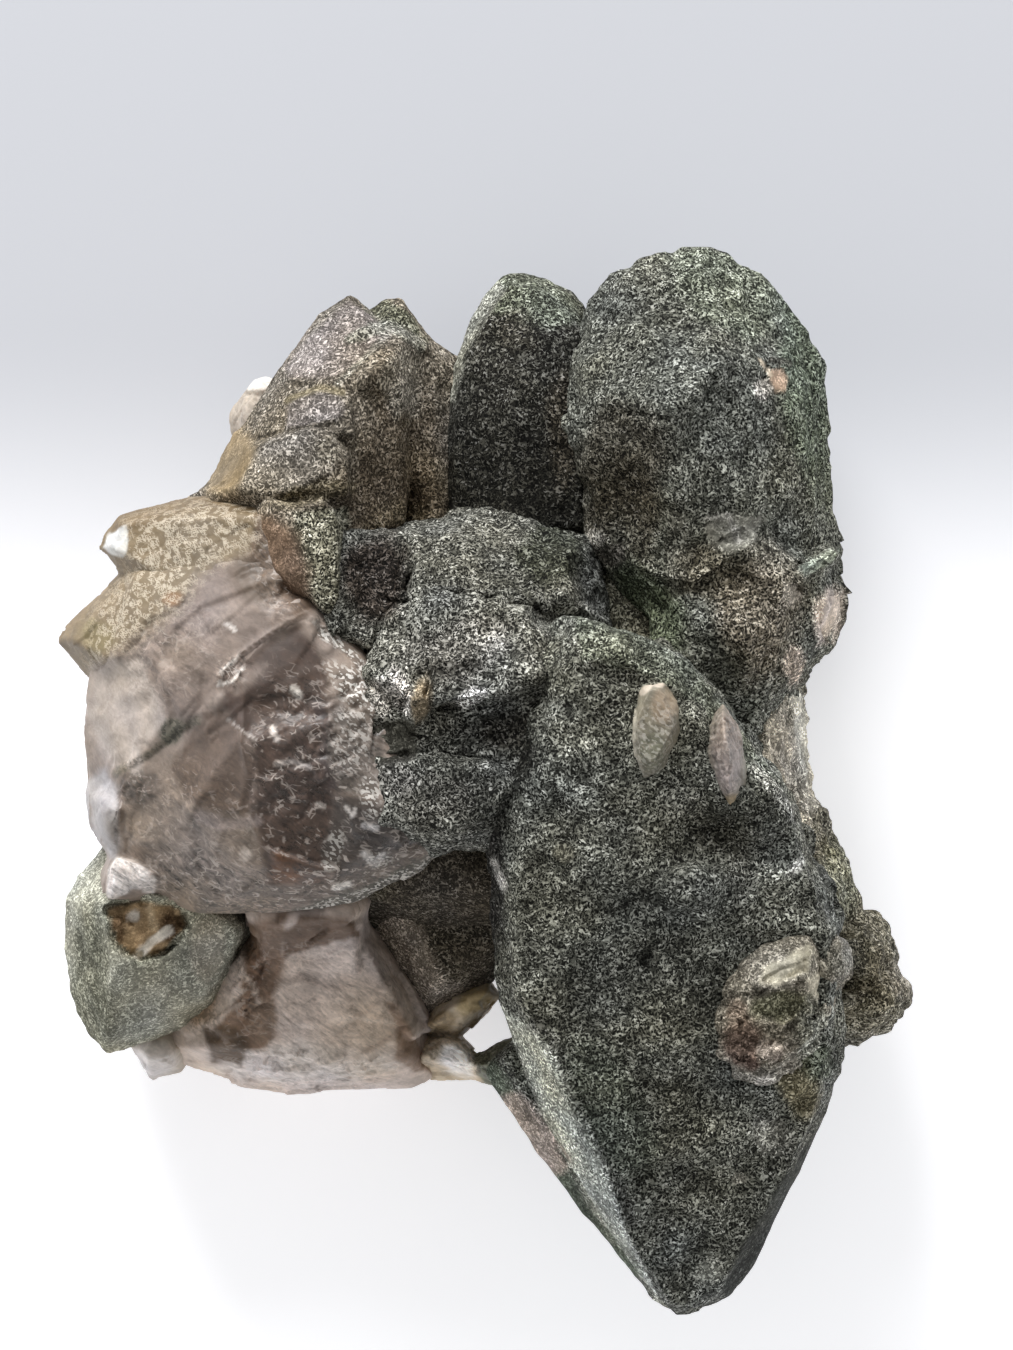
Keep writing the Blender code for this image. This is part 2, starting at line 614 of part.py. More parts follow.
def hull_object(name, rim, face, back, draw_in):
    """One crystal: the convex hull of its rim, its front corners and its back, as a closed mesh."""
    corners = rim + face + back_rings(rim, back, draw_in)
    shape = bmesh.new()
    for x, y, z in corners:
        shape.verts.new((x * MM, y * MM, z * MM))
    made = bmesh.ops.convex_hull(shape, input=shape.verts, use_existing_faces=False)
    inside = {item for item in made["geom_interior"] if isinstance(item, bmesh.types.BMVert)}
    bmesh.ops.delete(shape, geom=list(inside), context="VERTS")
    bmesh.ops.recalc_face_normals(shape, faces=shape.faces)
    mesh = bpy.data.meshes.new(name)
    shape.to_mesh(mesh)
    shape.free()
    return bpy.data.objects.new(name, mesh)


def helper_group(name, crystals):
    """The crystals of some groups as hidden helpers in one collection, for a Boolean to read."""
    group = bpy.data.collections.new(name)
    bpy.context.scene.collection.children.link(group)
    for part_name, corners in crystals.items():
        helper = hull_object(part_name, **corners)
        helper.hide_render = True
        helper.display_type = "WIRE"
        group.objects.link(helper)
    return group


def add_boolean(target, name, operation, group):
    """A Boolean of the target with every helper of the group."""
    modifier = target.modifiers.new(name, "BOOLEAN")
    modifier.operation = operation
    modifier.operand_type = "COLLECTION"
    modifier.collection = group
    modifier.solver = "EXACT"


def plain_material(name, colour, roughness):
    """A matt stone finish with one colour."""
    material = bpy.data.materials.new(name)
    material.use_nodes = True
    surface = material.node_tree.nodes["Principled BSDF"]
    surface.inputs["Base Color"].default_value = colour
    surface.inputs["Roughness"].default_value = roughness
    surface.inputs["Metallic"].default_value = 0.0
    return material


def clear_scene():
    """Removes whatever the file held before."""
    for old in list(bpy.data.objects):
        bpy.data.objects.remove(old, do_unlink=True)


def build_cluster():
    """The whole cluster: the core joined with every crystal on it, less the hollows."""
    grown = {}
    for group in (
        CORE_LOBES, GREAT_CRYSTAL, ON_GREAT_CRYSTAL, DOME, FINGER, SPIRE, ARMS, BROKEN_QUARTZ,
        MIDDLE_BLOCK, LOWER_LEFT, REAR_RIDGE,
    ):
        grown.update(group)
    cluster = hull_object("quartz_cluster", **CORE)
    bpy.context.scene.collection.objects.link(cluster)
    add_boolean(cluster, "crystals", "UNION", helper_group("crystals", grown))
    add_boolean(cluster, "hollows", "DIFFERENCE", helper_group("hollows", HOLLOWS))
    cluster.data.materials.append(
        plain_material("chlorite_crust", CHLORITE_GREY, CRUST_ROUGHNESS)
    )
    return cluster


clear_scene()
build_cluster()
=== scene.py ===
# %% [markdown]
# # A chlorite quartz cluster
#
# This lesson dresses one natural thing: a hand-sized cluster of quartz crystals that grew into one
# another. Most of them wear a crust of chlorite, a soft grey-green mineral of tiny plates. The left
# side is broken, so there the smoky quartz is bare and see-through. The cluster lies on its back, on
# the flat cut where it came off its rock, and the camera looks straight down on its front.

# %% The fixed frame
import math

import bmesh
import bpy
import numpy as np
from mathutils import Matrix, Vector


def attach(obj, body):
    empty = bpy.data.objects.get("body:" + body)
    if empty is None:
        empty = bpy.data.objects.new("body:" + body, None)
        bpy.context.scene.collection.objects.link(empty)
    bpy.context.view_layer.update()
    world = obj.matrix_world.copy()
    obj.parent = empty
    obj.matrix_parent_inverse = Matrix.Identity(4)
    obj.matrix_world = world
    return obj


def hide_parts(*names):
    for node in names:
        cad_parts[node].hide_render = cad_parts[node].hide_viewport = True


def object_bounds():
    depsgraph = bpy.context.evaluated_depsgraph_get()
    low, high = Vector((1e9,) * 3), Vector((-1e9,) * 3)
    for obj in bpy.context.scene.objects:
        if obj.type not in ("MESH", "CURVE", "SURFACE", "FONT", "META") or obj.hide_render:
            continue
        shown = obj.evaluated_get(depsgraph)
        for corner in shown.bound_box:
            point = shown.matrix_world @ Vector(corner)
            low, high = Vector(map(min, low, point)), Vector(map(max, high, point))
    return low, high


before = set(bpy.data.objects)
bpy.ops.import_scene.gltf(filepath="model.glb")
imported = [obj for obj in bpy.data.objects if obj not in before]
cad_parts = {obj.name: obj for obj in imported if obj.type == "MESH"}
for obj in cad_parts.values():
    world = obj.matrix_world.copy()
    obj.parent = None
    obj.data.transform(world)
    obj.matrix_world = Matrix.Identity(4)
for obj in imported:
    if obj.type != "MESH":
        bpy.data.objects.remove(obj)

MM = 0.001
CAD_LOW, CAD_HIGH = [np.array(corner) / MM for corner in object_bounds()]
print("solid model's box in mm:", CAD_LOW.round(1), "to", CAD_HIGH.round(1))

# %% [markdown]
# ## Camera
#
# The photo's own frame settles the camera: 1013 by 1350 pixels at 0.085 mm a pixel is a view about
# 115 mm tall. A long lens from far off keeps the outlines nearly free of perspective, which is how
# the corners of the crystals were read from the photo.

# %% Camera
PHOTO_WIDE, PHOTO_TALL = 1013, 1350
MM_PER_PIXEL = 0.085
ORIGIN_PIXEL = (488.0, 782.0)
OUTLINE_HEIGHT = 24.0
CAMERA_DISTANCE = 1600.0
SENSOR = 36.0

camera_data = bpy.data.cameras.new("camera")
camera_data.sensor_width = SENSOR
camera_data.lens = SENSOR * CAMERA_DISTANCE / (PHOTO_TALL * MM_PER_PIXEL)
camera_data.clip_end = 10.0
camera = bpy.data.objects.new("camera", camera_data)
camera.location = (
    (PHOTO_WIDE / 2 - ORIGIN_PIXEL[0]) * MM_PER_PIXEL * MM,
    (ORIGIN_PIXEL[1] - PHOTO_TALL / 2) * MM_PER_PIXEL * MM, (OUTLINE_HEIGHT + CAMERA_DISTANCE) * MM,
)
bpy.context.scene.collection.objects.link(camera)
bpy.context.scene.camera = camera
bpy.context.scene.view_settings.view_transform = "Standard"
print("lens", round(camera_data.lens), "mm, camera at", tuple(round(v, 4) for v in camera.location))

# %% [markdown]
# ## Shader sums
#
# A finish is a sum of masks. Written as nodes by hand such sums are long, so one small class wraps an
# output socket: an expression such as 1 - mask adds the Math node that works it out. Any other node
# comes from one function, which takes the node's type, its settings and what its sockets are fed.
# Colours and vectors have two functions of their own, because a Math node would turn them grey.

# %% Wires
class Wire:
    """An output socket whose sums, differences and products are Math nodes of the same tree."""

    def __init__(self, socket):
        self.socket = socket
        self.tree = socket.id_data
        self.cells = {}

    def math(self, operation, *others):
        """A Math node on this wire and up to two numbers or wires."""
        return node(self.tree, "ShaderNodeMath", {"operation": operation}, dict(enumerate((self, *others))))

    def __add__(self, other):
        return self.math("ADD", other)

    def __radd__(self, other):
        return self.math("ADD", other)

    def __sub__(self, other):
        return self.math("SUBTRACT", other)

    def __rsub__(self, other):
        return (self * -1.0).math("ADD", other)

    def __mul__(self, other):
        return self.math("MULTIPLY", other)

    def __rmul__(self, other):
        return self.math("MULTIPLY", other)

    def __pow__(self, other):
        return self.math("POWER", other)

    def above(self, other):
        return self.math("MAXIMUM", other)

    def below(self, other):
        return self.math("MINIMUM", other)

    def step(self, low, high):
        """0 under low, 1 over high, and 3t^2 - 2t^3 between them."""
        settings = {"interpolation_type": "SMOOTHSTEP"}
        return node(self.tree, "ShaderNodeMapRange", settings, {0: self, 1: low, 2: high})


def node(tree, kind, settings, inputs, output=0):
    """Adds a node: its settings first, then its sockets, each by a number, a colour or a wire."""
    made = tree.nodes.new(kind)
    for name, value in settings.items():
        setattr(made, name, value)
    for key, value in inputs.items():
        if isinstance(value, Wire):
            tree.links.new(value.socket, made.inputs[key])
        else:
            made.inputs[key].default_value = value
    return Wire(made.outputs[output])


def blend(mask, first, second):
    """The first colour where the mask is 0 and the second where it is 1."""
    tree = next(item.tree for item in (mask, first, second) if isinstance(item, Wire))
    return node(tree, "ShaderNodeMix", {"data_type": "RGBA"}, {0: mask, 6: first, 7: second}, 2)


def vectors(operation, first, second, output=0):
    """A Vector Math node: the second value is a vector, or for SCALE a number."""
    inputs = {0: first, 3 if operation == "SCALE" else 1: second}
    return node(first.tree, "ShaderNodeVectorMath", {"operation": operation}, inputs, output)


def rgb(red, green, blue):
    """A colour given by its screen values from 0 to 255, as light: ((v / 255 + 0.055) / 1.055)^2.4."""
    values = [v / 255 for v in (red, green, blue)]
    return tuple(((v + 0.055) / 1.055) ** 2.4 if v > 0.04 else v / 12.92 for v in values) + (1.0,)


print("wires ready")

# %% [markdown]
# ## The corners of the crystals
#
# A quartz crystal has flat faces, so each crystal, lump or ledge is the convex hull of a few corners
# read from the photo: its rim, which is the outline seen from the front, its face, which is the
# corners of the front facets, and its back, which is the rim drawn in twice towards its middle. These
# are the same corners, in millimetres, as the solid model's. Where no draw_in is given it is STRAIGHT.

# %% Backs and draws
# Height of the cut, and how far down the backs of the deep, middling and shallow crystals reach.
CUT_Z = 0.0
DEEP = 5.0
MIDDLE = 8.0
SHALLOW = 12.0

# Share of the way to its middle by which a back is drawn in.
NARROW = 0.42
PLAIN = 0.26
STRAIGHT = 0.10
CUT_FACE = 0.14

# Where the first step of a back lies: its share of the height and of the drawing in.
STEP_HEIGHT = 0.40
STEP_DRAW_IN = 0.30
print("backs reach down to", DEEP, MIDDLE, "or", SHALLOW, "mm above the cut")


# %% Corners
# The broken mass that carries the crystals; its back is the flat cut that everything rests on.
CORE = dict(rim=[
    (-27, -2, 10), (-27, 12, 12), (-21, 22, 12), (-8, 30, 12), (8, 33, 11), (23, 30, 10), (27, 12, 11),
    (25, -8, 12), (20, -16, 13), (6, -15, 13), (-8, -13, 12), (-22, -13, 11),
], face=[
    (-22, 0, 24), (-20, 16, 22), (-4, 22, 20), (12, 22, 20), (20, 6, 26), (18, -10, 28), (6, -10, 28),
    (-8, -6, 25), (-18, -8, 22),
], back=CUT_Z, draw_in=CUT_FACE)

# Two lobes of the same broken mass, which swell out under the left and the right side.
CORE_LOBES = {
    "left_lobe_of_core": dict(rim=[
        (-30, 2, 14), (-29, 12, 16), (-22, 20, 15), (-14, 12, 14), (-14, -10, 14), (-27, -9, 13),
    ], face=[(-27, 3, 23), (-25, 11, 24), (-18, 4, 26), (-22, -7, 21)], back=3, draw_in=NARROW),
    "right_lobe_of_core": dict(rim=[
        (14, 14, 10), (26, 11, 9), (26.5, 0, 9), (27, -12, 10), (24, -20, 12), (12, -18, 13),
    ], face=[(16, 10, 22), (24, 6, 18), (25, -8, 19), (18, -14, 24)], back=2, draw_in=NARROW),
}

print("corners round the core:", len(CORE["rim"]))

# %% Corners of the great crystal
# The great crystal at the lower right, whose point is down and away from the others.
GREAT_CRYSTAL = {
    "great_crystal": dict(rim=[
        (6.5, 13.4, 33), (12.5, 12.9, 34), (17, 10.1, 33), (20.3, 6.3, 32.5), (25.3, -1.5, 30),
        (29, -9.5, 27.5), (30.1, -14.5, 25), (29.9, -25.3, 21), (27.5, -31, 19.5), (22.8, -41, 17.5),
        (20.5, -44, 17.5), (17, -45.6, 18), (15.7, -45.4, 19), (11.8, -40.7, 20), (5, -29, 24),
        (1.8, -21.5, 27), (0.3, -15.5, 29), (1.3, -9, 31), (0.5, -3, 33),
    ], face=[
        (7.5, 14, 37.6), (12.5, 12.6, 37.8), (17, 9.8, 36.8), (20, 6, 35.8), (8, 10.2, 40), (12, 10, 40.4),
        (14, 8.7, 40), (19, 3.5, 38.4), (24.3, -1.5, 35.8), (27.8, -9.5, 32.8), (28.8, -16, 30.6),
        (28.4, -25, 28), (27.3, -29.3, 26.8), (23.5, -36.5, 25), (19.3, -43.3, 23), (15.5, -44.4, 23.4),
        (12.5, -39.5, 26.8), (7.2, -27, 31.6), (3.2, -19, 34), (2.6, -9, 36.8), (4.5, 4, 39), (13, -8, 37.2),
        (17, -22, 33),
    ], back=MIDDLE, draw_in=NARROW),
    "great_crystal_flank": dict(rim=[
        (-0.3, -24.6, 16), (2.5, -28, 15.5), (4.5, -30.5, 15), (7.1, -35.8, 14.5), (10, -38.5, 14.5),
        (14, -43.5, 14.5), (16.3, -45.2, 15), (20, -40, 16), (14, -20, 16), (4, -20.5, 18),
    ], face=[(1.6, -23.6, 21), (5.2, -29.8, 20), (9, -36, 19), (14.2, -43, 18.5)], back=10, draw_in=NARROW),
}

# Small crystals and lumps that grew on the great crystal's face.
ON_GREAT_CRYSTAL = {
    "spindle_left": dict(rim=[
        (13, 8.2, 38), (14.8, 8.6, 38), (15.8, 6.8, 38), (16.1, 4.5, 37.6), (15.3, 2.5, 37.6),
        (14.6, 1.2, 37.4), (13.2, 0.3, 37.4), (12.3, 1.5, 37.6), (12.2, 4, 38), (12.7, 6.2, 38),
    ], face=[
        (14, 7.6, 40.8), (14.6, 5, 41.4), (13.7, 2.2, 40.8), (12.9, 5, 40.8), (15.3, 4.6, 40.4),
    ], back=35),
    "spindle_right": dict(rim=[
        (19.8, 6.5, 36), (20.9, 4.8, 36), (21.3, 2.5, 36), (21.6, 0, 36), (21.2, -1.5, 36), (20.5, -2.3, 36),
        (19.6, -1, 36), (18.8, 0.8, 36), (18.3, 2.5, 36), (18.6, 4.8, 36),
    ], face=[(19.8, 5.4, 38.8), (20, 2.4, 40.2), (20.3, -0.8, 39.2)], back=33),
    "cluster_cap": dict(rim=[
        (20.4, -18.6, 30), (21, -16.6, 30), (23, -14.6, 30), (27.3, -13.5, 28), (28, -17, 28),
        (27, -19.5, 28),
    ], face=[(22.6, -17.3, 35.8), (25.2, -15.6, 35.6), (26.9, -15, 34.2), (26.8, -17.4, 34.2)], back=26),
    "cluster_middle": dict(rim=[
        (19.5, -20.4, 30), (21.5, -18.2, 31), (26, -18, 29), (29.4, -19, 26), (29, -22, 26),
        (26.5, -23.8, 27), (21, -23, 29),
    ], face=[(21.3, -20.4, 35), (24, -19.6, 35.4), (27.8, -20, 32.4), (25.6, -22, 33.6)], back=25),
    "cluster_foot": dict(rim=[
        (20.5, -22.5, 29), (24, -21.6, 30), (27.2, -23.4, 27), (24.5, -25.6, 27), (22, -25, 28),
    ], face=[(21.9, -23.3, 33.6), (24.4, -23.3, 33.4), (24.1, -24.7, 32)], back=26),
    "round_lump": dict(rim=[
        (28, -15.2, 24), (29, -13.6, 24), (30.7, -14, 24), (31, -15.8, 24), (29.6, -16.5, 24),
    ], face=[(29, -15.4, 30.6), (29.9, -14.6, 29.6), (30.1, -15.6, 29)], back=22),
    "swell": dict(rim=[
        (12, -10, 35), (14, -5.4, 35), (19, -5, 34), (23.6, -8, 32), (20, -13, 32),
    ], face=[(16.2, -7.6, 38.2), (19.8, -7.8, 37), (17.4, -10.4, 37)], back=30),
    "shoulder": dict(rim=[
        (16, 3, 35), (20, 2.4, 35), (25.4, -2.6, 32), (23.6, -5, 32), (17, -2.4, 34),
    ], face=[(19, 1, 39), (22.2, -1.2, 37.8), (24, -3, 36), (20, -1.8, 38)], back=30),
}

print("hulls on the great crystal:", len(ON_GREAT_CRYSTAL))

# %% Corners of the dome and the finger
# The broad crystal at the top right, with a blunt crown and a brow across its front.
DOME = {
    "dome": dict(rim=[
        (7.6, 38.5, 20), (8.3, 40.6, 20.5), (10.5, 43.2, 20.5), (13.3, 44.5, 20.5), (16.5, 45.2, 20),
        (18.2, 45.6, 19.5), (20.5, 44.5, 19), (24, 42.3, 18.5), (27, 39, 18), (28.5, 36, 17.5),
        (28.9, 30, 17), (29.4, 22, 16.5), (29, 13.5, 15), (26.5, 10.8, 15), (14, 12, 20), (8.5, 21, 20),
        (7, 31, 20),
    ], face=[
        (8.8, 38.5, 24.5), (12, 42.5, 24), (17, 43.8, 23), (22, 42, 22), (26, 37.5, 21), (8.3, 31.5, 28),
        (15.6, 31.2, 33), (20, 36, 30), (24, 34.5, 27), (8.8, 26, 27.5), (10, 20, 26), (15.5, 26.5, 33),
        (17, 21, 31.5), (22, 24, 29.5), (27, 26, 23.5), (24, 14, 26), (18, 12, 28), (27.5, 16, 21),
    ], back=DEEP, draw_in=NARROW),
    "brow": dict(rim=[
        (7.1, 36, 24), (7.2, 31, 25), (15, 29.6, 28), (20, 33.6, 26), (16, 40, 22), (9, 40, 22),
    ], face=[
        (8.4, 35.6, 26.8), (8.8, 32.2, 28.8), (14.6, 31.4, 34), (18.6, 34.6, 32.2), (13, 38.8, 28.4),
    ], back=20),
    "dome_foot": dict(rim=[
        (13, 17.5, 24), (20, 20.5, 25), (29.8, 20, 16), (29.6, 15, 15), (28, 12, 14), (26.6, 8, 14),
        (22, 5.5, 24), (15, 10, 27),
    ], face=[
        (17.5, 16.5, 30.4), (21.6, 19, 30.2), (26, 17.6, 26), (22, 11.6, 30.6), (25.4, 9.6, 24),
    ], back=SHALLOW),
    "edge_blade": dict(rim=[
        (25.2, 16.8, 22), (29.2, 19.9, 17), (30.3, 19.7, 16), (29.6, 18.2, 16), (26, 16.2, 22),
    ], face=[(26.2, 17.2, 27), (29.3, 19.2, 23)], back=14),
    "edge_chip": dict(rim=[
        (27, 15.4, 15), (29.8, 15.9, 14), (29.7, 14.2, 14), (28.3, 12, 14), (26.6, 12.4, 15),
    ], face=[(27.6, 15, 21.4), (29, 14.8, 20), (27.8, 13, 20)], back=MIDDLE),
}

# The narrow crystal set back between the dome and the left spire.
FINGER = {
    "finger": dict(rim=[
        (-4, 21, 15), (-3.9, 30, 15), (-3.1, 35, 15), (-1.4, 39.5, 14.5), (0.3, 42, 14), (1.7, 43.5, 14),
        (3.9, 43.4, 14), (7.3, 41.7, 14), (10, 38, 14), (10, 20, 15),
    ], face=[
        (-2.8, 21, 20), (-2.7, 30, 20.5), (-2, 36, 20), (-0.1, 39.2, 20), (1.9, 42.2, 18), (4.8, 41.6, 19),
        (8, 38, 21), (8, 22, 23), (2.2, 21, 24), (2.2, 32, 23.5), (2.8, 38, 22),
    ], back=DEEP, draw_in=PLAIN)
}

print("hulls of the dome:", len(DOME))

# %% Corners of the spire and the arms
# The stepped spire of blunt crystals at the upper left.
SPIRE = {
    "spire": dict(rim=[
        (-11.8, 41.6, 17), (-14.2, 39.8, 17.5), (-16.2, 36.6, 18), (-18.5, 32.4, 19), (-21.4, 29.6, 19),
        (-22.9, 26.5, 19), (-21, 20, 18), (-10, 18, 17), (-5.5, 30, 16), (-6, 37, 16), (-10.2, 40.4, 17),
    ], face=[
        (-11.9, 40.8, 19.5), (-10.3, 38.8, 22.5), (-14.8, 37.6, 22), (-8.2, 36, 25), (-12.8, 33.5, 28),
        (-17, 33, 24.5), (-12, 28, 29), (-19, 28, 26), (-11.5, 20, 29), (-7.5, 23, 24),
    ], back=DEEP, draw_in=NARROW),
    "spire_rear_tip": dict(rim=[
        (-10.4, 40, 15), (-9, 41.1, 15.5), (-7.5, 41.2, 15.5), (-6.5, 39.7, 15), (-5.2, 37.3, 15),
        (-4.4, 35.8, 15), (-3.2, 34.9, 14.5), (-3.2, 20, 14), (-10, 20, 14),
    ], face=[
        (-8.8, 39.8, 18.5), (-7.2, 40, 18.2), (-5.8, 37, 18.5), (-4.8, 34.5, 18), (-4.6, 22, 19),
        (-7, 30, 21), (-8, 38, 20),
    ], back=6),
    "spire_shoulder": dict(rim=[
        (-10.8, 38.4, 19), (-9, 39.2, 19), (-6.9, 38.9, 18.5), (-5.9, 37.4, 18.5), (-6.2, 33, 19),
        (-7, 27, 20), (-11, 27, 22),
    ], face=[
        (-9.8, 37.6, 23.8), (-7.4, 37.4, 23), (-8.3, 35.8, 26.4), (-7.4, 33, 25), (-11, 33.8, 28.4),
    ], back=14),
    "first_ledge": dict(rim=[
        (-17.2, 32.8, 22), (-14, 33.9, 23), (-11.3, 33.4, 23), (-10.8, 29, 24), (-17.5, 29, 22),
    ], face=[
        (-16.4, 32.2, 28), (-14, 33, 28.8), (-11.9, 32.6, 29.2), (-11.7, 29.5, 30.4), (-16.8, 29.5, 29.2),
    ], back=17),
    "second_ledge": dict(rim=[
        (-21.6, 28.8, 20), (-17.3, 30, 23), (-14.8, 30.7, 24), (-12.8, 30, 24.5), (-11.4, 28, 25),
        (-11.2, 23, 26), (-13, 21, 26), (-23.4, 24.4, 21),
    ], face=[
        (-19.5, 28.2, 28.4), (-15, 29.8, 31.4), (-13.3, 29.1, 31.6), (-12.1, 27.5, 31.6), (-12.2, 24.6, 32.2),
        (-20.8, 25.2, 29.4),
    ], back=17),
    "flange": dict(rim=[
        (-18.5, 24.2, 25), (-13.5, 24.6, 26), (-12.1, 22.5, 27), (-11.9, 18, 28), (-12, 15.3, 28),
        (-13.5, 13.3, 28), (-16, 15, 27), (-19, 21, 26),
    ], face=[
        (-17.5, 23.3, 32), (-13.8, 23.6, 33), (-12.8, 21.8, 33.4), (-12.8, 16, 34), (-13.6, 14.6, 33.8),
        (-15.2, 16.5, 34), (-15.8, 20, 33.6),
    ], back=17),
    "olive_face": dict(rim=[
        (-21.5, 29.9, 18), (-22.6, 28.2, 17.5), (-23.2, 26.4, 17.5), (-24.4, 24, 18), (-20, 21, 19),
        (-18, 30.6, 19),
    ], face=[(-21, 28.8, 21.5), (-19, 29.5, 22.5), (-22.4, 25.8, 22), (-20.3, 26, 23.5)], back=SHALLOW),
    "white_crystal": dict(rim=[
        (-22, 29.8, 12.5), (-22, 31.5, 12.5), (-21, 33.1, 13), (-20, 34.4, 13.5), (-19, 34.6, 13.5),
        (-17, 33.7, 13.5), (-15, 27, 14), (-20, 25, 13),
    ], face=[(-21, 31, 15.6), (-19.8, 33.3, 16.2), (-18.6, 33.5, 16.4), (-18.2, 29, 17.4)], back=9),
}

# The golden arms at the left, two crystals that lie over to that side.
ARMS = {
    "upper_arm": dict(rim=[
        (-24.4, 23.9, 22), (-25.6, 24.2, 22), (-31.4, 22.6, 22), (-32.6, 21.1, 21.5), (-33.1, 19.9, 21.5),
        (-31, 18.7, 21), (-27, 12, 22), (-18, 12, 24), (-14.5, 20, 26), (-17.5, 24.4, 25),
    ], face=[
        (-31.2, 21.8, 24), (-32.3, 20, 23.4), (-25, 22.4, 27.6), (-18.6, 22.6, 31), (-16.6, 18, 32.2),
        (-22, 14, 31), (-29.4, 18.6, 26),
    ], back=15, draw_in=PLAIN),
    "lower_arm": dict(rim=[
        (-36.6, 12, 19.5), (-35.6, 13.6, 20), (-34, 14.9, 20.5), (-33, 15.6, 21), (-31.2, 18, 21.5),
        (-24, 18, 24), (-22, 10, 24), (-33.8, 8.6, 20), (-35.1, 10.5, 19.5),
    ], face=[
        (-35.4, 12.1, 22), (-33.2, 14.4, 23), (-30, 16, 26), (-25.6, 15, 29.6), (-25.4, 11.6, 30.4),
        (-32.6, 10.6, 25.4),
    ], back=13, draw_in=PLAIN),
}

# The broken, see-through quartz on the left, with shell-like fracture faces.
BROKEN_QUARTZ = {
    "break_top": dict(rim=[
        (-34, 9, 21), (-30, 12.6, 24), (-24, 16.6, 26), (-19, 19, 28), (-14.6, 16.6, 29), (-12, 12, 30),
        (-11, 5, 31), (-22, 3, 30), (-34.4, 4.6, 21),
    ], face=[
        (-19.6, 15, 33), (-15.4, 13.4, 34.2), (-14, 8, 35), (-19.4, 7.6, 34.6), (-24.4, 9.6, 32.4),
        (-30, 7.6, 28.4),
    ], back=16, draw_in=PLAIN),
    "break_centre": dict(rim=[
        (-24, 6, 30), (-12, 9, 32), (-8, 6, 33), (-6, 1, 33), (-3, -5, 31), (-6, -7.6, 29), (-11, -10, 27),
        (-18, -11.2, 25.6), (-25, -11.2, 25), (-28, -6, 26), (-27, 2, 27),
    ], face=[
        (-21, 3.6, 34.8), (-13.4, 5, 36.2), (-10, -1.6, 36), (-8, -5, 34.4), (-14, -8, 32.6),
        (-21.6, -6.6, 32), (-24.4, -1, 32.6),
    ], back=17, draw_in=PLAIN),
    "break_left": dict(rim=[
        (-34, 8.2, 20), (-34.5, 5, 20), (-33.6, 2, 20.5), (-33.6, -1, 20.5), (-33.9, -2.4, 20.5),
        (-33.2, -4.6, 20.5), (-31.4, -8, 21), (-25, -11, 23), (-20, -4, 26), (-22, 7, 26),
    ], face=[
        (-31.6, 5.4, 26), (-31.2, 0, 26.2), (-30, -5, 26.4), (-25, -5.6, 30), (-25.6, 3, 31),
    ], back=SHALLOW, draw_in=PLAIN),
    "left_lobe": dict(rim=[
        (-34.4, -0.6, 19), (-34, -3.8, 19), (-31.8, -7, 20), (-30.6, -3, 22), (-31.6, 0.8, 21),
    ], face=[(-32.8, -1.6, 25.6), (-32.2, -4.4, 25.6), (-31.2, -2.4, 27.2)], back=15),
    "bright_facet": dict(rim=[
        (-33.4, -8.4, 18), (-31.8, -5.6, 21), (-27.4, -7, 22), (-27.6, -10.6, 20), (-32.8, -10.8, 18),
    ], face=[(-31.6, -6.6, 26.4), (-28.2, -7.9, 27), (-32.2, -9.8, 24.6)], back=14),
}

# The stepped block in the middle: three growth ledges, each nearer the front than the last.
MIDDLE_BLOCK = {
    "ledge_a": dict(rim=[
        (-8.5, 20.3, 22), (-6, 21.8, 22), (-2, 22.1, 22), (0, 21, 22), (5, 20.5, 22), (8.2, 20.1, 22),
        (10, 13, 25), (-10, 13, 25), (-9.5, 18, 23),
    ], face=[
        (-6.5, 20.6, 28.4), (-2, 21.2, 29), (1, 20, 29.4), (6.6, 19.2, 29), (6.6, 15.8, 32.4),
        (0, 15.8, 33.2), (-6.5, 16.2, 32.6),
    ], back=16),
    "ledge_b": dict(rim=[
        (-10.6, 12, 28), (-8.5, 15.8, 28), (-3, 16.8, 29), (5, 15.5, 30), (6.8, 12, 30), (5.4, 8, 32),
        (-9, 7.5, 31),
    ], face=[
        (-8.5, 13.2, 33), (-4, 15, 34.6), (3, 14.2, 35.2), (4.3, 9, 37.8), (0, 7.4, 38.6), (-3, 6.7, 38.4),
        (-8, 8.3, 36.6), (-10, 9.5, 34),
    ], back=22),
    "block_band": dict(rim=[
        (-12, 8, 26), (6, 8, 28), (3.6, 0, 30), (1, -3, 31), (-9, -6, 27), (-13, 0, 27),
    ], face=[(-9.8, 7, 34.2), (3.6, 7, 35.4), (2, 1, 35), (-3, 2, 35), (-9.5, 1, 34)], back=18),
    "ledge_c": dict(rim=[
        (-10.4, 1.9, 30), (-5, 2.5, 31), (0, 1.9, 32), (2.5, 0, 33), (1.3, -3, 33), (0.1, -4.3, 32.5),
        (-5.2, -6.4, 30), (-10.6, -5, 29),
    ], face=[
        (-9.3, 1.2, 35.8), (-5, 1.7, 36.8), (0.3, 1, 37.8), (1.2, -0.8, 38.2), (0, -3.2, 37.4),
        (-3.5, -3.6, 37.2), (-9, -3, 36.2),
    ], back=24),
    "tan_crystal": dict(rim=[
        (-6.6, 9.4, 33), (-4.6, 9.8, 33), (-4.4, 8, 33), (-5.8, 4, 33), (-7, 6, 33),
    ], face=[(-5.4, 8.8, 38), (-6, 6.2, 38), (-5.8, 4.8, 36.6)], back=30),
}

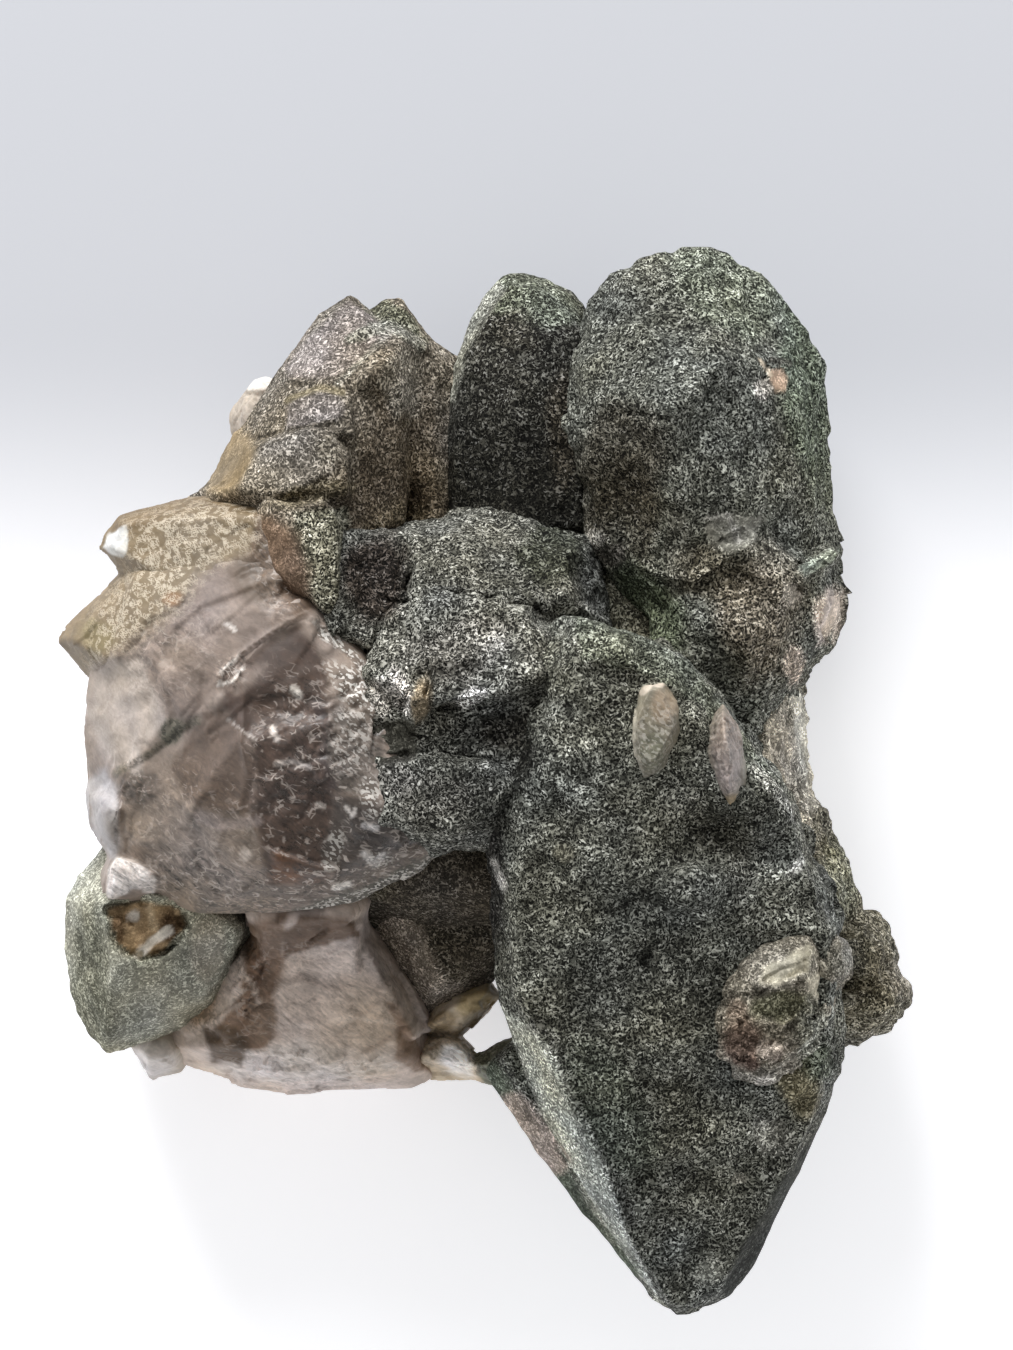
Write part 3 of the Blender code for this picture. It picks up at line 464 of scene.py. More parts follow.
# The grey-green crystal at the lower left and the quartz below the middle block.
LOWER_LEFT = {
    "lower_left_crystal": dict(rim=[
        (-32.8, -5, 16), (-35, -8.3, 16), (-36.1, -10, 16), (-36.3, -13.5, 15.5), (-35.5, -18, 15),
        (-34, -21.5, 14.5), (-32.5, -23, 14.5), (-29, -22.4, 14), (-22.6, -20, 13), (-19.6, -12, 14),
        (-24, -7, 16),
    ], face=[
        (-32.2, -10.5, 24), (-34.4, -11, 21), (-31.5, -16, 23.4), (-34, -18, 19.4), (-32.4, -21.6, 18.6),
        (-24, -18, 19.6), (-21.6, -12.6, 21), (-26, -9.5, 24.2),
    ], back=4, draw_in=NARROW),
    "bottom_plate": dict(rim=[
        (-21, -12, 12), (-15, -11, 13), (-10.5, -12, 13), (-9, -15.5, 12), (-7, -18.5, 12), (-5.5, -21, 11.5),
        (-4.6, -25.4, 10), (-6.5, -26.4, 10), (-10, -26.1, 10), (-17.5, -26.7, 10), (-21, -26, 10),
        (-26.5, -24.2, 10), (-29, -23, 10.5), (-25, -18, 11),
    ], face=[
        (-19, -13, 20), (-11.5, -13.5, 20.6), (-8.6, -19, 19), (-7, -23.5, 16.4), (-14, -24, 18),
        (-22.6, -22.6, 17.4), (-20.5, -18, 19.6),
    ], back=3, draw_in=NARROW),
    "dark_crystal": dict(rim=[
        (-11, -10, 15), (-5, -5, 17), (3, -4, 17), (2.4, -14, 15), (0.2, -17.6, 13), (-2, -18.4, 12.5),
        (-5.4, -20.6, 11.5), (-10, -14, 13),
    ], face=[
        (-8.6, -10.6, 18.6), (-4, -6, 21), (1.4, -7, 21), (0.4, -14, 18.6), (-4.6, -17.6, 17),
    ], back=4, draw_in=NARROW),
    "rim_crystal": dict(rim=[
        (-6.4, -21.6, 10), (-4.4, -18.6, 12), (0, -17, 13), (1, -18.4, 13), (-1.4, -20.6, 11),
        (-2.6, -22.2, 10),
    ], face=[(-4.6, -20.6, 15.4), (-3, -19.2, 16.4), (-0.2, -18, 16.2), (-2.6, -20.6, 15)], back=6),
    "bridge": dict(rim=[
        (-7, -22, 8), (-3, -21.6, 10), (-1.9, -22.5, 11), (-0.9, -23.5, 12), (1.5, -22.2, 14),
        (3.4, -21.8, 15), (3, -27, 14), (0, -25.3, 12), (-1.8, -25.4, 10), (-6, -25.6, 8),
    ], face=[(-4, -23, 13.4), (-1, -24.2, 14.4), (1.8, -23.6, 17.6), (-5.6, -23.6, 14)], back=7),
    "clear_foot": dict(rim=[
        (-30.6, -22.7, 10), (-29, -25.6, 9), (-26.3, -25, 9), (-24, -21.6, 10), (-28, -19.6, 12),
    ], face=[(-29, -23.6, 13.6), (-27.4, -23.6, 14)], back=7),
}

# The knobbly ridge that shows behind the great crystal's right side.
REAR_RIDGE = {
    "ridge_top": dict(rim=[
        (26.9, 10, 11), (26.8, 8.8, 11), (25.9, 7, 11), (26.7, 4, 11), (27.5, 0.4, 11), (27.2, -2, 11),
        (18, -4, 13), (17, 9, 15),
    ], face=[(24.6, 8.4, 20), (24.8, 4, 21.4), (25.6, 0, 22), (21, 4, 25)], back=5, draw_in=PLAIN),
    "ridge_knob": dict(rim=[
        (27.2, -0.8, 11), (28.4, -2.6, 11), (29.1, -4.9, 11), (27, -9, 12), (22, -5, 13),
    ], face=[(27, -2.6, 19.6), (27.8, -4.8, 20), (26, -5, 23)], back=6, draw_in=PLAIN),
    "ridge_middle": dict(rim=[
        (28.6, -4, 11), (30.1, -6, 11), (30.9, -8, 11), (31.8, -10.9, 11), (31, -14, 11), (25, -15, 13),
        (24, -6, 13),
    ], face=[(28.6, -6.6, 20), (30, -9, 18.6), (30.2, -12, 18.4), (27.6, -11, 23)], back=6, draw_in=PLAIN),
    "ridge_end_upper": dict(rim=[
        (30.6, -11.2, 10), (33.1, -11.4, 10), (34.2, -13.2, 10), (35.2, -15, 10), (34.6, -17.6, 10),
        (27, -18, 11),
    ], face=[
        (32.2, -12.6, 17), (34, -14.6, 16.6), (33.2, -16.6, 18), (30, -15, 20),
    ], back=6.5, draw_in=PLAIN),
    "ridge_end_lower": dict(rim=[
        (34.8, -15, 9), (36.6, -17.7, 9), (36.2, -19.1, 9), (34.5, -21.1, 9), (32, -21.6, 9.5),
        (29.8, -22.6, 10), (26, -18, 11), (31, -15, 10),
    ], face=[
        (34.6, -17, 15.8), (35.3, -18.5, 14.8), (33.4, -20, 15.8), (31, -18.4, 18.4),
    ], back=7, draw_in=PLAIN),
}


def drawn_in(rim, share, depth):
    """The rim moved a share of the way to its own middle and set at one depth."""
    rim = np.array(rim, float)
    middle = rim.mean(axis=0)
    ring = middle + (rim - middle) * (1 - share)
    ring[:, 2] = depth
    return ring


def all_corners(rim, face, back, draw_in=STRAIGHT):
    """Every corner of a crystal: rim, face and the two rings of its back."""
    rim_height = np.mean([corner[2] for corner in rim])
    step_height = back + (rim_height - back) * STEP_HEIGHT
    return np.vstack([
        np.array(rim, float), np.array(face, float),
        drawn_in(rim, draw_in * STEP_DRAW_IN, step_height), drawn_in(rim, draw_in, back),
    ])


print("corners of the great crystal:", len(all_corners(**GREAT_CRYSTAL["great_crystal"])))

# %% [markdown]
# ## From corners to a crystal's surface
#
# The surface is a function of two angles. For each direction u from the crystal's middle, a flat face
# with outward normal n at distance d is met after d / (n . u), and the nearest face ends the crystal.
# A soft minimum, -log(sum(exp(-k t))) / k, rounds the edges by about 1/k millimetre, as a crust does;
# a large k keeps them as sharp as bare quartz.

# %% Faces, rays and surfaces
FAR = 1000.0
SAME_FACE_DIGITS = 2


def hull_faces(corners):
    """Outward unit normals n and distances d of the flat faces of the corners' convex hull."""
    shape = bmesh.new()
    for corner in corners:
        shape.verts.new(corner)
    made = bmesh.ops.convex_hull(shape, input=shape.verts, use_existing_faces=False)
    loose = {item for item in made["geom_interior"] if isinstance(item, bmesh.types.BMVert)}
    bmesh.ops.delete(shape, geom=list(loose), context="VERTS")
    bmesh.ops.recalc_face_normals(shape, faces=shape.faces)
    normals = np.array([face.normal[:] for face in shape.faces])
    distances = np.array([face.normal.dot(face.verts[0].co) for face in shape.faces])
    shape.free()
    planes = np.column_stack([normals, distances])
    _, first = np.unique(planes.round(SAME_FACE_DIGITS), axis=0, return_index=True)
    return normals[first], distances[first]


def round_directions(half_sizes, spacing):
    """Unit directions over an ellipsoid, latitude and longitude about its longest axis, and its faces.

    The grid's rings run from pole to pole and its columns round the axis; each pole is one point.
    """
    pole = int(np.argmax(half_sizes))
    order = [(pole + 1) % 3, (pole + 2) % 3, pole]
    wide, deep, tall = np.asarray(half_sizes)[order]
    rings = max(10, int(math.pi * math.sqrt((tall ** 2 + ((wide + deep) / 2) ** 2) / 2) / spacing))
    columns = max(12, int(2 * math.pi * math.sqrt((wide ** 2 + deep ** 2) / 2) / spacing))
    latitude = np.linspace(0, math.pi, rings + 1)[1:-1, None]
    longitude = np.linspace(0, 2 * math.pi, columns, endpoint=False)[None, :]
    grid = np.empty((rings - 1, columns, 3))
    grid[..., order[0]] = wide * np.sin(latitude) * np.cos(longitude)
    grid[..., order[1]] = deep * np.sin(latitude) * np.sin(longitude)
    grid[..., order[2]] = tall * np.cos(latitude) * np.ones_like(longitude)
    top, bottom = np.zeros(3), np.zeros(3)
    top[pole], bottom[pole] = tall, -tall
    points = np.vstack([grid.reshape(-1, 3), top, bottom])
    index = np.arange((rings - 1) * columns).reshape(rings - 1, columns)
    turned = np.roll(index, -1, axis=1)
    quads = np.stack([index[:-1], index[1:], turned[1:], turned[:-1]], axis=-1).reshape(-1, 4)
    first, last = len(points) - 2, len(points) - 1
    cap = np.stack([np.full(columns, first), index[0], turned[0]], axis=-1)
    foot = np.stack([np.full(columns, last), turned[-1], index[-1]], axis=-1)
    return points / np.linalg.norm(points, axis=1, keepdims=True), quads, np.vstack([cap, foot])


SMALLEST_SLOPE = 1e-6


def crystal_surface(corners, spacing, sharpness, swell):
    """Points, quads and triangles of one crystal, by the rule above. Swell moves its faces outwards."""
    normals, distances = hull_faces(corners)
    middle = corners.mean(axis=0)
    reach = distances - normals @ middle + swell
    half_sizes = (corners.max(axis=0) - corners.min(axis=0)) / 2
    directions, quads, triangles = round_directions(half_sizes, spacing)
    slope = directions @ normals.T
    lengths = np.where(slope > SMALLEST_SLOPE, reach / np.maximum(slope, SMALLEST_SLOPE), FAR)
    nearest = lengths.min(axis=1)
    soft = nearest - np.log(np.exp(-sharpness * (lengths - nearest[:, None])).sum(axis=1)) / sharpness
    return middle + directions * soft[:, None], quads, triangles


def mesh_from(name, surfaces):
    """One mesh that holds several surfaces given in millimetres."""
    points, faces, start = [], [], 0
    for corners, quads, triangles in surfaces:
        points.append(corners)
        faces += (quads + start).tolist() + (triangles + start).tolist()
        start += len(corners)
    mesh = bpy.data.meshes.new(name)
    mesh.from_pydata((np.vstack(points) * MM).tolist(), [], faces)
    mesh.update()
    return mesh


print("faces of the great crystal:", len(hull_faces(all_corners(**GREAT_CRYSTAL["great_crystal"]))[0]))

# %% [markdown]
# ## Growing crystals together
#
# Crystals that grew into one another have no wall between them. Their surfaces are laid into one mesh
# and a voxel remesh keeps only its outside, as evenly spaced quads. That gives a fine, even skin to
# model the crust or the fractures on.

# %% Fused skins
def read_points(mesh):
    """The mesh's points in millimetres."""
    flat = np.empty(len(mesh.vertices) * 3)
    mesh.vertices.foreach_get("co", flat)
    return flat.reshape(-1, 3) / MM


def read_normals(mesh):
    """The mesh's outward direction at each point."""
    flat = np.empty(len(mesh.vertices) * 3, np.float32)
    mesh.vertex_normals.foreach_get("vector", flat)
    return flat.reshape(-1, 3).astype(float)


def write_points(mesh, points):
    """Puts points in millimetres back, kept inside the solid model's box and above the cut."""
    inside = np.clip(points, CAD_LOW, CAD_HIGH)
    mesh.vertices.foreach_set("co", (inside * MM).ravel())
    mesh.update()


POINTS_A_VOXEL = 1.3


def stored(piece, name, values):
    """Keeps a number or a colour for each point of a piece."""
    kind, key = ("FLOAT", "value") if values.ndim == 1 else ("FLOAT_COLOR", "color")
    layer = piece.data.attributes.new(name, kind, "POINT")
    layer.data.foreach_set(key, values.astype(np.float32).ravel())


def grown_piece(name, crystals, voxel, sharpness=12.0, swell=0.09, soften=0):
    """One closed piece from several crystals: their surfaces laid together, remeshed and softened."""
    surfaces = [
        crystal_surface(all_corners(**shape), voxel * POINTS_A_VOXEL, sharpness, swell)
        for shape in crystals.values()
    ]
    helper = bpy.data.objects.new(name + "_raw", mesh_from(name + "_raw", surfaces))
    bpy.context.scene.collection.objects.link(helper)
    remesh = helper.modifiers.new("grow", "REMESH")
    remesh.mode = "VOXEL"
    remesh.voxel_size = voxel * MM
    if soften:
        helper.modifiers.new("soften", "SMOOTH").iterations = soften
    graph = bpy.context.evaluated_depsgraph_get()
    mesh = bpy.data.meshes.new_from_object(helper.evaluated_get(graph))
    mesh.name = name
    bpy.data.objects.remove(helper, do_unlink=True)
    piece = bpy.data.objects.new(name, mesh)
    bpy.context.scene.collection.objects.link(piece)
    return piece


def finish_piece(piece, material):
    """Smooth shading, the finish, and the piece's place in the frame."""
    piece.data.polygons.foreach_set("use_smooth", np.ones(len(piece.data.polygons), bool))
    piece.data.materials.clear()
    piece.data.materials.append(material)
    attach(piece, "root")
    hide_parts("quartz_cluster")
    triangles = sum(len(p.vertices) - 2 for p in piece.data.polygons)
    print(piece.name, triangles, "triangles")


print("skins ready")

# %% [markdown]
# ## Relief
#
# Nothing on the real cluster is smooth. Its relief is worked out in numpy over all the points at once:
# smooth noise for undulation, cells for lumps and for the flat breaks of quartz, and ridges, mounds,
# ledges and flat faces at places read from the photo.

# %% Noise
def soft_step(value, low, high):
    """0 under low, 1 over high, and 3t^2 - 2t^3 between them."""
    part = np.clip((value - low) / (high - low), 0, 1)
    return part * part * (3 - 2 * part)


def turned(points, x, y, degrees):
    """Distances along and across a direction in the picture plane, measured from a place."""
    angle = math.radians(degrees)
    right, up = points[:, 0] - x, points[:, 1] - y
    return right * math.cos(angle) + up * math.sin(angle), up * math.cos(angle) - right * math.sin(angle)


# Large odd numbers that stir a lattice corner and a seed into one number.
STIR_CORNER, STIR_SEED = np.array([374761393, 668265263, 1440662683]), 1013904223
STIR_ONCE, STIR_TWICE = 1274126177, 1911520717


def lattice_values(cells, seed):
    """A random value between -1 and 1 for each whole-number corner of a lattice."""
    mixed = cells @ STIR_CORNER + seed * STIR_SEED
    mixed = (mixed ^ (mixed >> 13)) * STIR_ONCE
    mixed = (mixed ^ (mixed >> 16)) * STIR_TWICE
    return ((mixed ^ (mixed >> 15)) & 0xFFFF) / 32767.5 - 1


def noise(points, wavelength, seed=0):
    """Smooth noise from -1 to 1: lattice values blended along each axis with 3t^2 - 2t^3."""
    scaled = points / wavelength + 0.37 * seed
    cell = np.floor(scaled).astype(np.int64)
    part = scaled - cell
    part = part * part * (3 - 2 * part)
    total = np.zeros(len(points))
    for corner in range(8):
        offset = np.array([corner & 1, corner >> 1 & 1, corner >> 2 & 1])
        weight = np.where(offset, part, 1 - part).prod(axis=1)
        total += weight * lattice_values(cell + offset, seed)
    return total


def layered(points, wavelength, layers, seed=0):
    """Noise added to itself at half the wavelength and half the height, several times."""
    return sum(noise(points, wavelength / 2 ** i, seed + 7 * i) / 2 ** i for i in range(layers))


def nearest_cells(scaled, seed):
    """The nearest of seeds scattered one to a unit cube: the offset to it and its cube."""
    home = np.floor(scaled).astype(np.int64)
    best, offset, cube = np.full(len(scaled), FAR), np.zeros(scaled.shape), home.copy()
    for corner in range(27):
        near = home + np.array([corner % 3 - 1, corner // 3 % 3 - 1, corner // 9 - 1])
        jitter = np.stack([lattice_values(near, seed + axis) for axis in (1, 2, 3)], axis=1) * 0.5 + 0.5
        away = scaled - near - jitter
        distance = (away ** 2).sum(axis=1)
        closer = (distance < best)[:, None]
        best = np.minimum(distance, best)
        offset, cube = np.where(closer, away, offset), np.where(closer, near, cube)
    return offset, cube


print("noise at three points:", noise(np.array([[0.0, 0, 0], [1, 2, 3], [4, 5, 6]]), 2.0).round(2))


# %% Knobs and flat breaks
def knobs(points, size, seed=0):
    """Rounded knobs of about the given size: 0.55 less the distance to the nearest seed, in sizes."""
    offset, _ = nearest_cells(points / size, seed)
    return 0.55 - np.linalg.norm(offset, axis=1)


def facets(points, sizes, degrees, tilt, drop, seed=0):
    """Flat breaks: each cell is a plane of its own slope and depth, so cells meet in sharp edges.

    Height = tilt (a u + b v + c w) + drop d, where u, v, w are millimetres from the cell's seed and
    a, b, c, d are random between -1 and 1. Cells are longer along one direction of the picture plane.
    """
    along, across = turned(points, 0, 0, degrees)
    sizes = np.array(sizes, float)
    offset, cube = nearest_cells(np.column_stack([along, across, points[:, 2]]) / sizes, seed)
    slopes = np.stack([lattice_values(cube, seed + axis) for axis in (11, 12, 13)], axis=1)
    return tilt * (slopes * offset * sizes).sum(axis=1) + drop * lattice_values(cube, seed + 14)


print("a knob at two points:", knobs(np.array([[0.0, 0, 0], [1, 2, 3]]), 1.4).round(2))


# %% Paths and outlines
def beside(points, path):
    """Distance to a path in the picture plane, and which side a point is on: 1 left, -1 right."""
    best = np.full(len(points), FAR)
    side = np.ones(len(points))
    for start, end in zip(path[:-1], path[1:]):
        step = np.subtract(end, start)
        offset = points[:, :2] - start
        share = np.clip(offset @ step / (step @ step), 0, 1)
        distance = np.linalg.norm(offset - share[:, None] * step, axis=1)
        nearer = distance < best
        turn = step[0] * offset[:, 1] - step[1] * offset[:, 0]
        best = np.where(nearer, distance, best)
        side = np.where(nearer, np.sign(turn), side)
    return best, side


def edge_distance(points, outline):
    """Distance to an outline's edge in the picture plane: above 0 inside it, below 0 outside."""
    distance, _ = beside(points, outline + outline[:1])
    inside = np.zeros(len(points), bool)
    for (x0, y0), (x1, y1) in zip(outline, outline[1:] + outline[:1]):
        spans = (y0 > points[:, 1]) != (y1 > points[:, 1])
        rise = y1 - y0 if y1 != y0 else 1.0
        inside ^= spans & (points[:, 0] < (x1 - x0) * (points[:, 1] - y0) / rise + x0)
    return np.where(inside, distance, -distance)


SQUARE = [(0, 0), (2, 0), (2, 2), (0, 2)]
print("a square's middle is", edge_distance(np.array([[1.0, 1, 0]]), SQUARE), "mm inside its edge")


# %% Mounds, creases and ledges
def mound(points, x, y, half_long, half_wide, degrees, height):
    """A mound or, below zero, a hollow: height exp(-(a / long)^2 - (b / wide)^2)."""
    along, across = turned(points, x, y, degrees)
    return height * np.exp(-((along / half_long) ** 2) - (across / half_wide) ** 2)


def crease(points, path, half_wide, height):
    """A rib or, below zero, a groove along a path: height exp(-(distance / wide)^2)."""
    distance, _ = beside(points, path)
    return height * np.exp(-((distance / half_wide) ** 2))


def ledge(points, path, drop, reach):
    """A step along a path: its right side is lower by drop exp(-distance / reach)."""
    distance, side = beside(points, path)
    ends = np.minimum(*[np.linalg.norm(points[:, :2] - end, axis=1) for end in (path[0], path[-1])])
    fade = soft_step(ends, 0.0, reach * 0.6)
    return np.where(side < 0, -drop * np.exp(-distance / reach) * fade, 0.0)


print("a mound a half-length from its middle:", mound(np.array([[2.0, 0, 0]]), 0, 0, 2, 1, 0, 1).round(3))


# %% Corner fill and flat faces
def rise_in_corners(points, normals, neighbours, reach, height):
    """How far the crust fills the corners between crystals.

    At distance d from a neighbour, whose nearest flat face has normal m, it rises by
    height (1 - d / reach)^2, times 1 - (n . m) / 0.7 between 0 and 1: nothing where both faces lie alike.
    """
    rise = np.zeros(len(points))
    for shape in neighbours.values():
        faces, distances = hull_faces(all_corners(**shape))
        over = points @ faces.T - distances
        nearest = over.argmax(axis=1)
        near = 1 - np.clip(over.max(axis=1), 0, reach) / reach
        alike = (normals * faces[nearest]).sum(axis=1)
        rise = np.maximum(rise, near ** 2 * np.clip(1 - alike / 0.7, 0, 1))
    return rise * height


FACE_SOFT = 0.25


def flat_face(points, normals, corners, limit):
    """Change of height that lays the front on a plane inside an outline of corners (x, y, lift).

    The plane is fitted to the skin at the corners, each raised by its lift. No point moves by more
    than about the limit: limit tanh(change / limit).
    """
    corners = np.array(corners, float)
    front = points[normals[:, 2] > 0.1]
    away = np.linalg.norm(front[None, :, :2] - corners[:, None, :2], axis=2)
    on_skin = front[away.argmin(axis=1), 2] + corners[:, 2]
    terms = np.column_stack([corners[:, :2], np.ones(len(corners))])
    slope = np.linalg.lstsq(terms, on_skin, rcond=None)[0]
    plane = points[:, :2] @ slope[:2] + slope[2]
    outline = [tuple(corner) for corner in corners[:, :2]]
    inside = soft_step(edge_distance(points, outline), -FACE_SOFT, FACE_SOFT)
    change = limit * np.tanh((plane - points[:, 2]) / limit)
    return change * (inside * soft_step(normals[:, 2], 0.1, 0.6))


def faced(piece, faces, limit):
    """Cuts flat faces into the front of a piece, one after another."""
    for corners in faces:
        points, normals = read_points(piece.data), read_normals(piece.data)
        points[:, 2] += flat_face(points, normals, corners, limit)
        write_points(piece.data, points)


print("a flat face softens over", FACE_SOFT, "mm at its edge")

# %% [markdown]
# ## Painting zones
#
# Iron, milk, green chlorite and bare quartz each lie where the photo shows them. A zone is a patch or
# a band with a wandering edge, seen from the front. It is worked out in numpy and kept on the mesh as
# a colour attribute called tone, whose alpha says how speckled or how milky the surface is there.

# %% Zones
def area(points, outline, soft=0.3):
    """1 inside an outline and 0 outside it, with a nearly sharp edge."""
    return soft_step(edge_distance(points, outline) + 0.25 * noise(points, 0.9, 93), -soft, soft)


def patch(points, x, y, half_long, half_wide, degrees=0.0):
    """1 inside an ellipse whose edge wanders by a quarter of its size, 0 outside."""
    along, across = turned(points, x, y, degrees)
    away = np.hypot(along / half_long, across / half_wide)
    return 1 - soft_step(away + 0.28 * layered(points, max(half_wide, 1.2), 2, 91), 0.6, 1.25)


def band(points, path, half_wide):
    """1 along a path and 0 away from it, with a wandering edge."""
    distance, _ = beside(points, path)
    return 1 - soft_step(distance / half_wide + 0.3 * layered(points, 1.5, 2, 92), 0.5, 1.2)


def sides(points, start, end):
    """1 well below the highest point of the same square millimetre, 0 on the front."""
    column = np.floor(points[:, :2]).astype(int)
    column -= column.min(axis=0)
    front = np.full(column.max(axis=0) + 1, -99.0)
    np.maximum.at(front, tuple(column.T), points[:, 2])
    return soft_step(front[tuple(column.T)] - points[:, 2], start, end)


def light_of(red, green, blue, alpha=1.0):
    """A screen colour from 0 to 255 as light, with its alpha unchanged."""
    return np.array(rgb(red, green, blue)[:3] + (alpha,))


WARM_DRIFT = np.array([0.06, 0.02, -0.08])
# How much the crust's crests are painted lighter and its hollows darker, as painted light and shade.
CREST_PAINTED_LIGHT, CREST_MOST = 1.1, 0.45


def painted(piece, base, zones):
    """Blends zones over a base colour and stores them. A zone: colour, strength, shape, its values.

    Slow noise then shifts the lightness and the warmth. Crests of the crust are painted lighter and
    its hollows darker, as painted light and shade.
    """
    points = read_points(piece.data)
    tone = np.tile(light_of(*base), (len(points), 1))
    for colour, strength, shape, *values in zones:
        mask = (shape(points, *values) * strength)[:, None]
        tone = tone * (1 - mask) + light_of(*colour) * mask
    tone[:, :3] *= (1 + 0.12 * noise(points, 4.5, 5) + 0.08 * noise(points, 1.7, 6))[:, None]
    tone[:, :3] *= 1 + layered(points, 5.0, 2, 8)[:, None] * WARM_DRIFT
    crest = piece.data.attributes.get("crest")
    if crest:
        heights = np.empty(len(points), np.float32)
        crest.data.foreach_get("value", heights)
        tone[:, :3] *= (1 + CREST_PAINTED_LIGHT * np.clip(heights, -CREST_MOST, CREST_MOST))[:, None]
    stored(piece, "tone", tone)


print("a patch at its middle and outside:", patch(np.array([[0.0, 0, 0], [9, 9, 0]]), 0, 0, 3, 3).round(2))

# %% [markdown]
# ## The chlorite crust
#
# Chlorite grows as tiny curled plates, a third of a millimetre long at most. From arm's length they
# read as short curled silver-grey strokes over near-black gaps. The curled edges are the lines where a
# fine noise crosses its middle value, the faces are where a finer one is high, and each plate in turn
# gets its own shine, painted into its colour as painted glints: a lit plate is lighter and greyer.
# Where the crust is darkest, fewer gleam. Little light leaves the gaps, so the crust mirrors much less
# than bare quartz.

# %% Finish helpers
HALF = (0.5, 0.5, 0.5)


def object_place(tree):
    """The place on the object in millimetres."""
    return vectors("SCALE", node(tree, "ShaderNodeTexCoord", {}, {}, 3), 1 / MM)


def stretched(place, sizes, turn=(0.0, 0.0, 0.0)):
    """The place turned by some degrees and then divided by a size along each axis."""
    angles = tuple(math.radians(v) for v in turn)
    settings = {"rotation_type": "EULER_XYZ"}
    rotated = node(place.tree, "ShaderNodeVectorRotate", settings, {0: place, 4: angles})
    return vectors("DIVIDE", rotated, sizes)


def cloud(place, size, detail=2.0, roughness=0.5, output=0):
    """Blender's noise with features of about the given size in millimetres."""
    inputs = {"Vector": place, "Scale": 1 / size, "Detail": detail, "Roughness": roughness}
    return node(place.tree, "ShaderNodeTexNoise", {}, inputs, output)


def drifted(place, size, reach):
    """The place moved about by a slow noise, which bends whatever is drawn with it."""
    drift = vectors("SUBTRACT", cloud(place, size, 1.0, 0.5, 1), HALF)
    return vectors("ADD", place, vectors("SCALE", drift, reach))


def scattered(place, feature="F1", output=0):
    """Voronoi cells one unit across: output 0 is a distance, 1 each cell's colour and 2 its seed."""
    if feature not in place.cells:
        made = node(place.tree, "ShaderNodeTexVoronoi", {"feature": feature}, {"Vector": place, "Scale": 1.0})
        place.cells[feature] = made.socket.node
    return Wire(place.cells[feature].outputs[output])


def part_of(colour, index):
    """One channel of a colour."""
    return node(colour.tree, "ShaderNodeSeparateColor", {}, {0: colour}, index)


def attribute(tree, name, output):
    """A stored attribute: output 0 is its colour and output 3 its alpha."""
    return node(tree, "ShaderNodeAttribute", {"attribute_name": name}, {}, output)


def tinted(colour, amount):
    """A colour times a number."""
    return vectors("SCALE", colour, amount)


def new_material(name):
    """A material with a Principled surface, its tree and that surface."""
    material = bpy.data.materials.new(name)
    material.use_nodes = True
    return material, material.node_tree, material.node_tree.nodes["Principled BSDF"]


def plug(shader, socket, wire):
    """Links a wire to a shader's socket."""
    shader.id_data.links.new(wire.socket, shader.inputs[socket])


def bumped(tree, height, depth):
    """The surface's direction, tilted by a height from 0 to 1 that stands for a depth in millimetres."""
    inputs = {"Strength": 1.0, "Distance": depth * MM, "Height": height}
    return node(tree, "ShaderNodeBump", {}, inputs)


# %% Chlorite crust
def tilts(spread):
    """In each cell a plane of its own slope, as a flat plate or a small break has."""
    offset = vectors("SUBTRACT", spread, scattered(spread, output=2))
    slope = vectors("SUBTRACT", scattered(spread, output=1), HALF)
    return vectors("DOT_PRODUCT", offset, slope, 1)


def curls(place, half_wide):
    """Curled lines, 1 where a noise crosses its middle value and 0 away from there."""
    away = cloud(place, 1.0, 1.0) - 0.5
    return 1.0 - (away * away).step(0.0, half_wide * half_wide)


# Sizes in millimetres of the curled edges, the plates' faces and the patches that shine alike.
CURLS, FACES, SHINES = (0.32, 0.38, 0.35), (0.165, 0.22, 0.19), (0.25, 0.2, 0.23)

# How bright the gaps and the brightest plates are against the mean colour, and how rough each is.
GAP_LIGHT, PLATE_LIGHT = 0.04, 6.5
GAP_ROUGH, PLATE_ROUGH = 0.85, 0.36
CRUST_MIRROR = 0.12
CRUST_DEPTH = 0.13


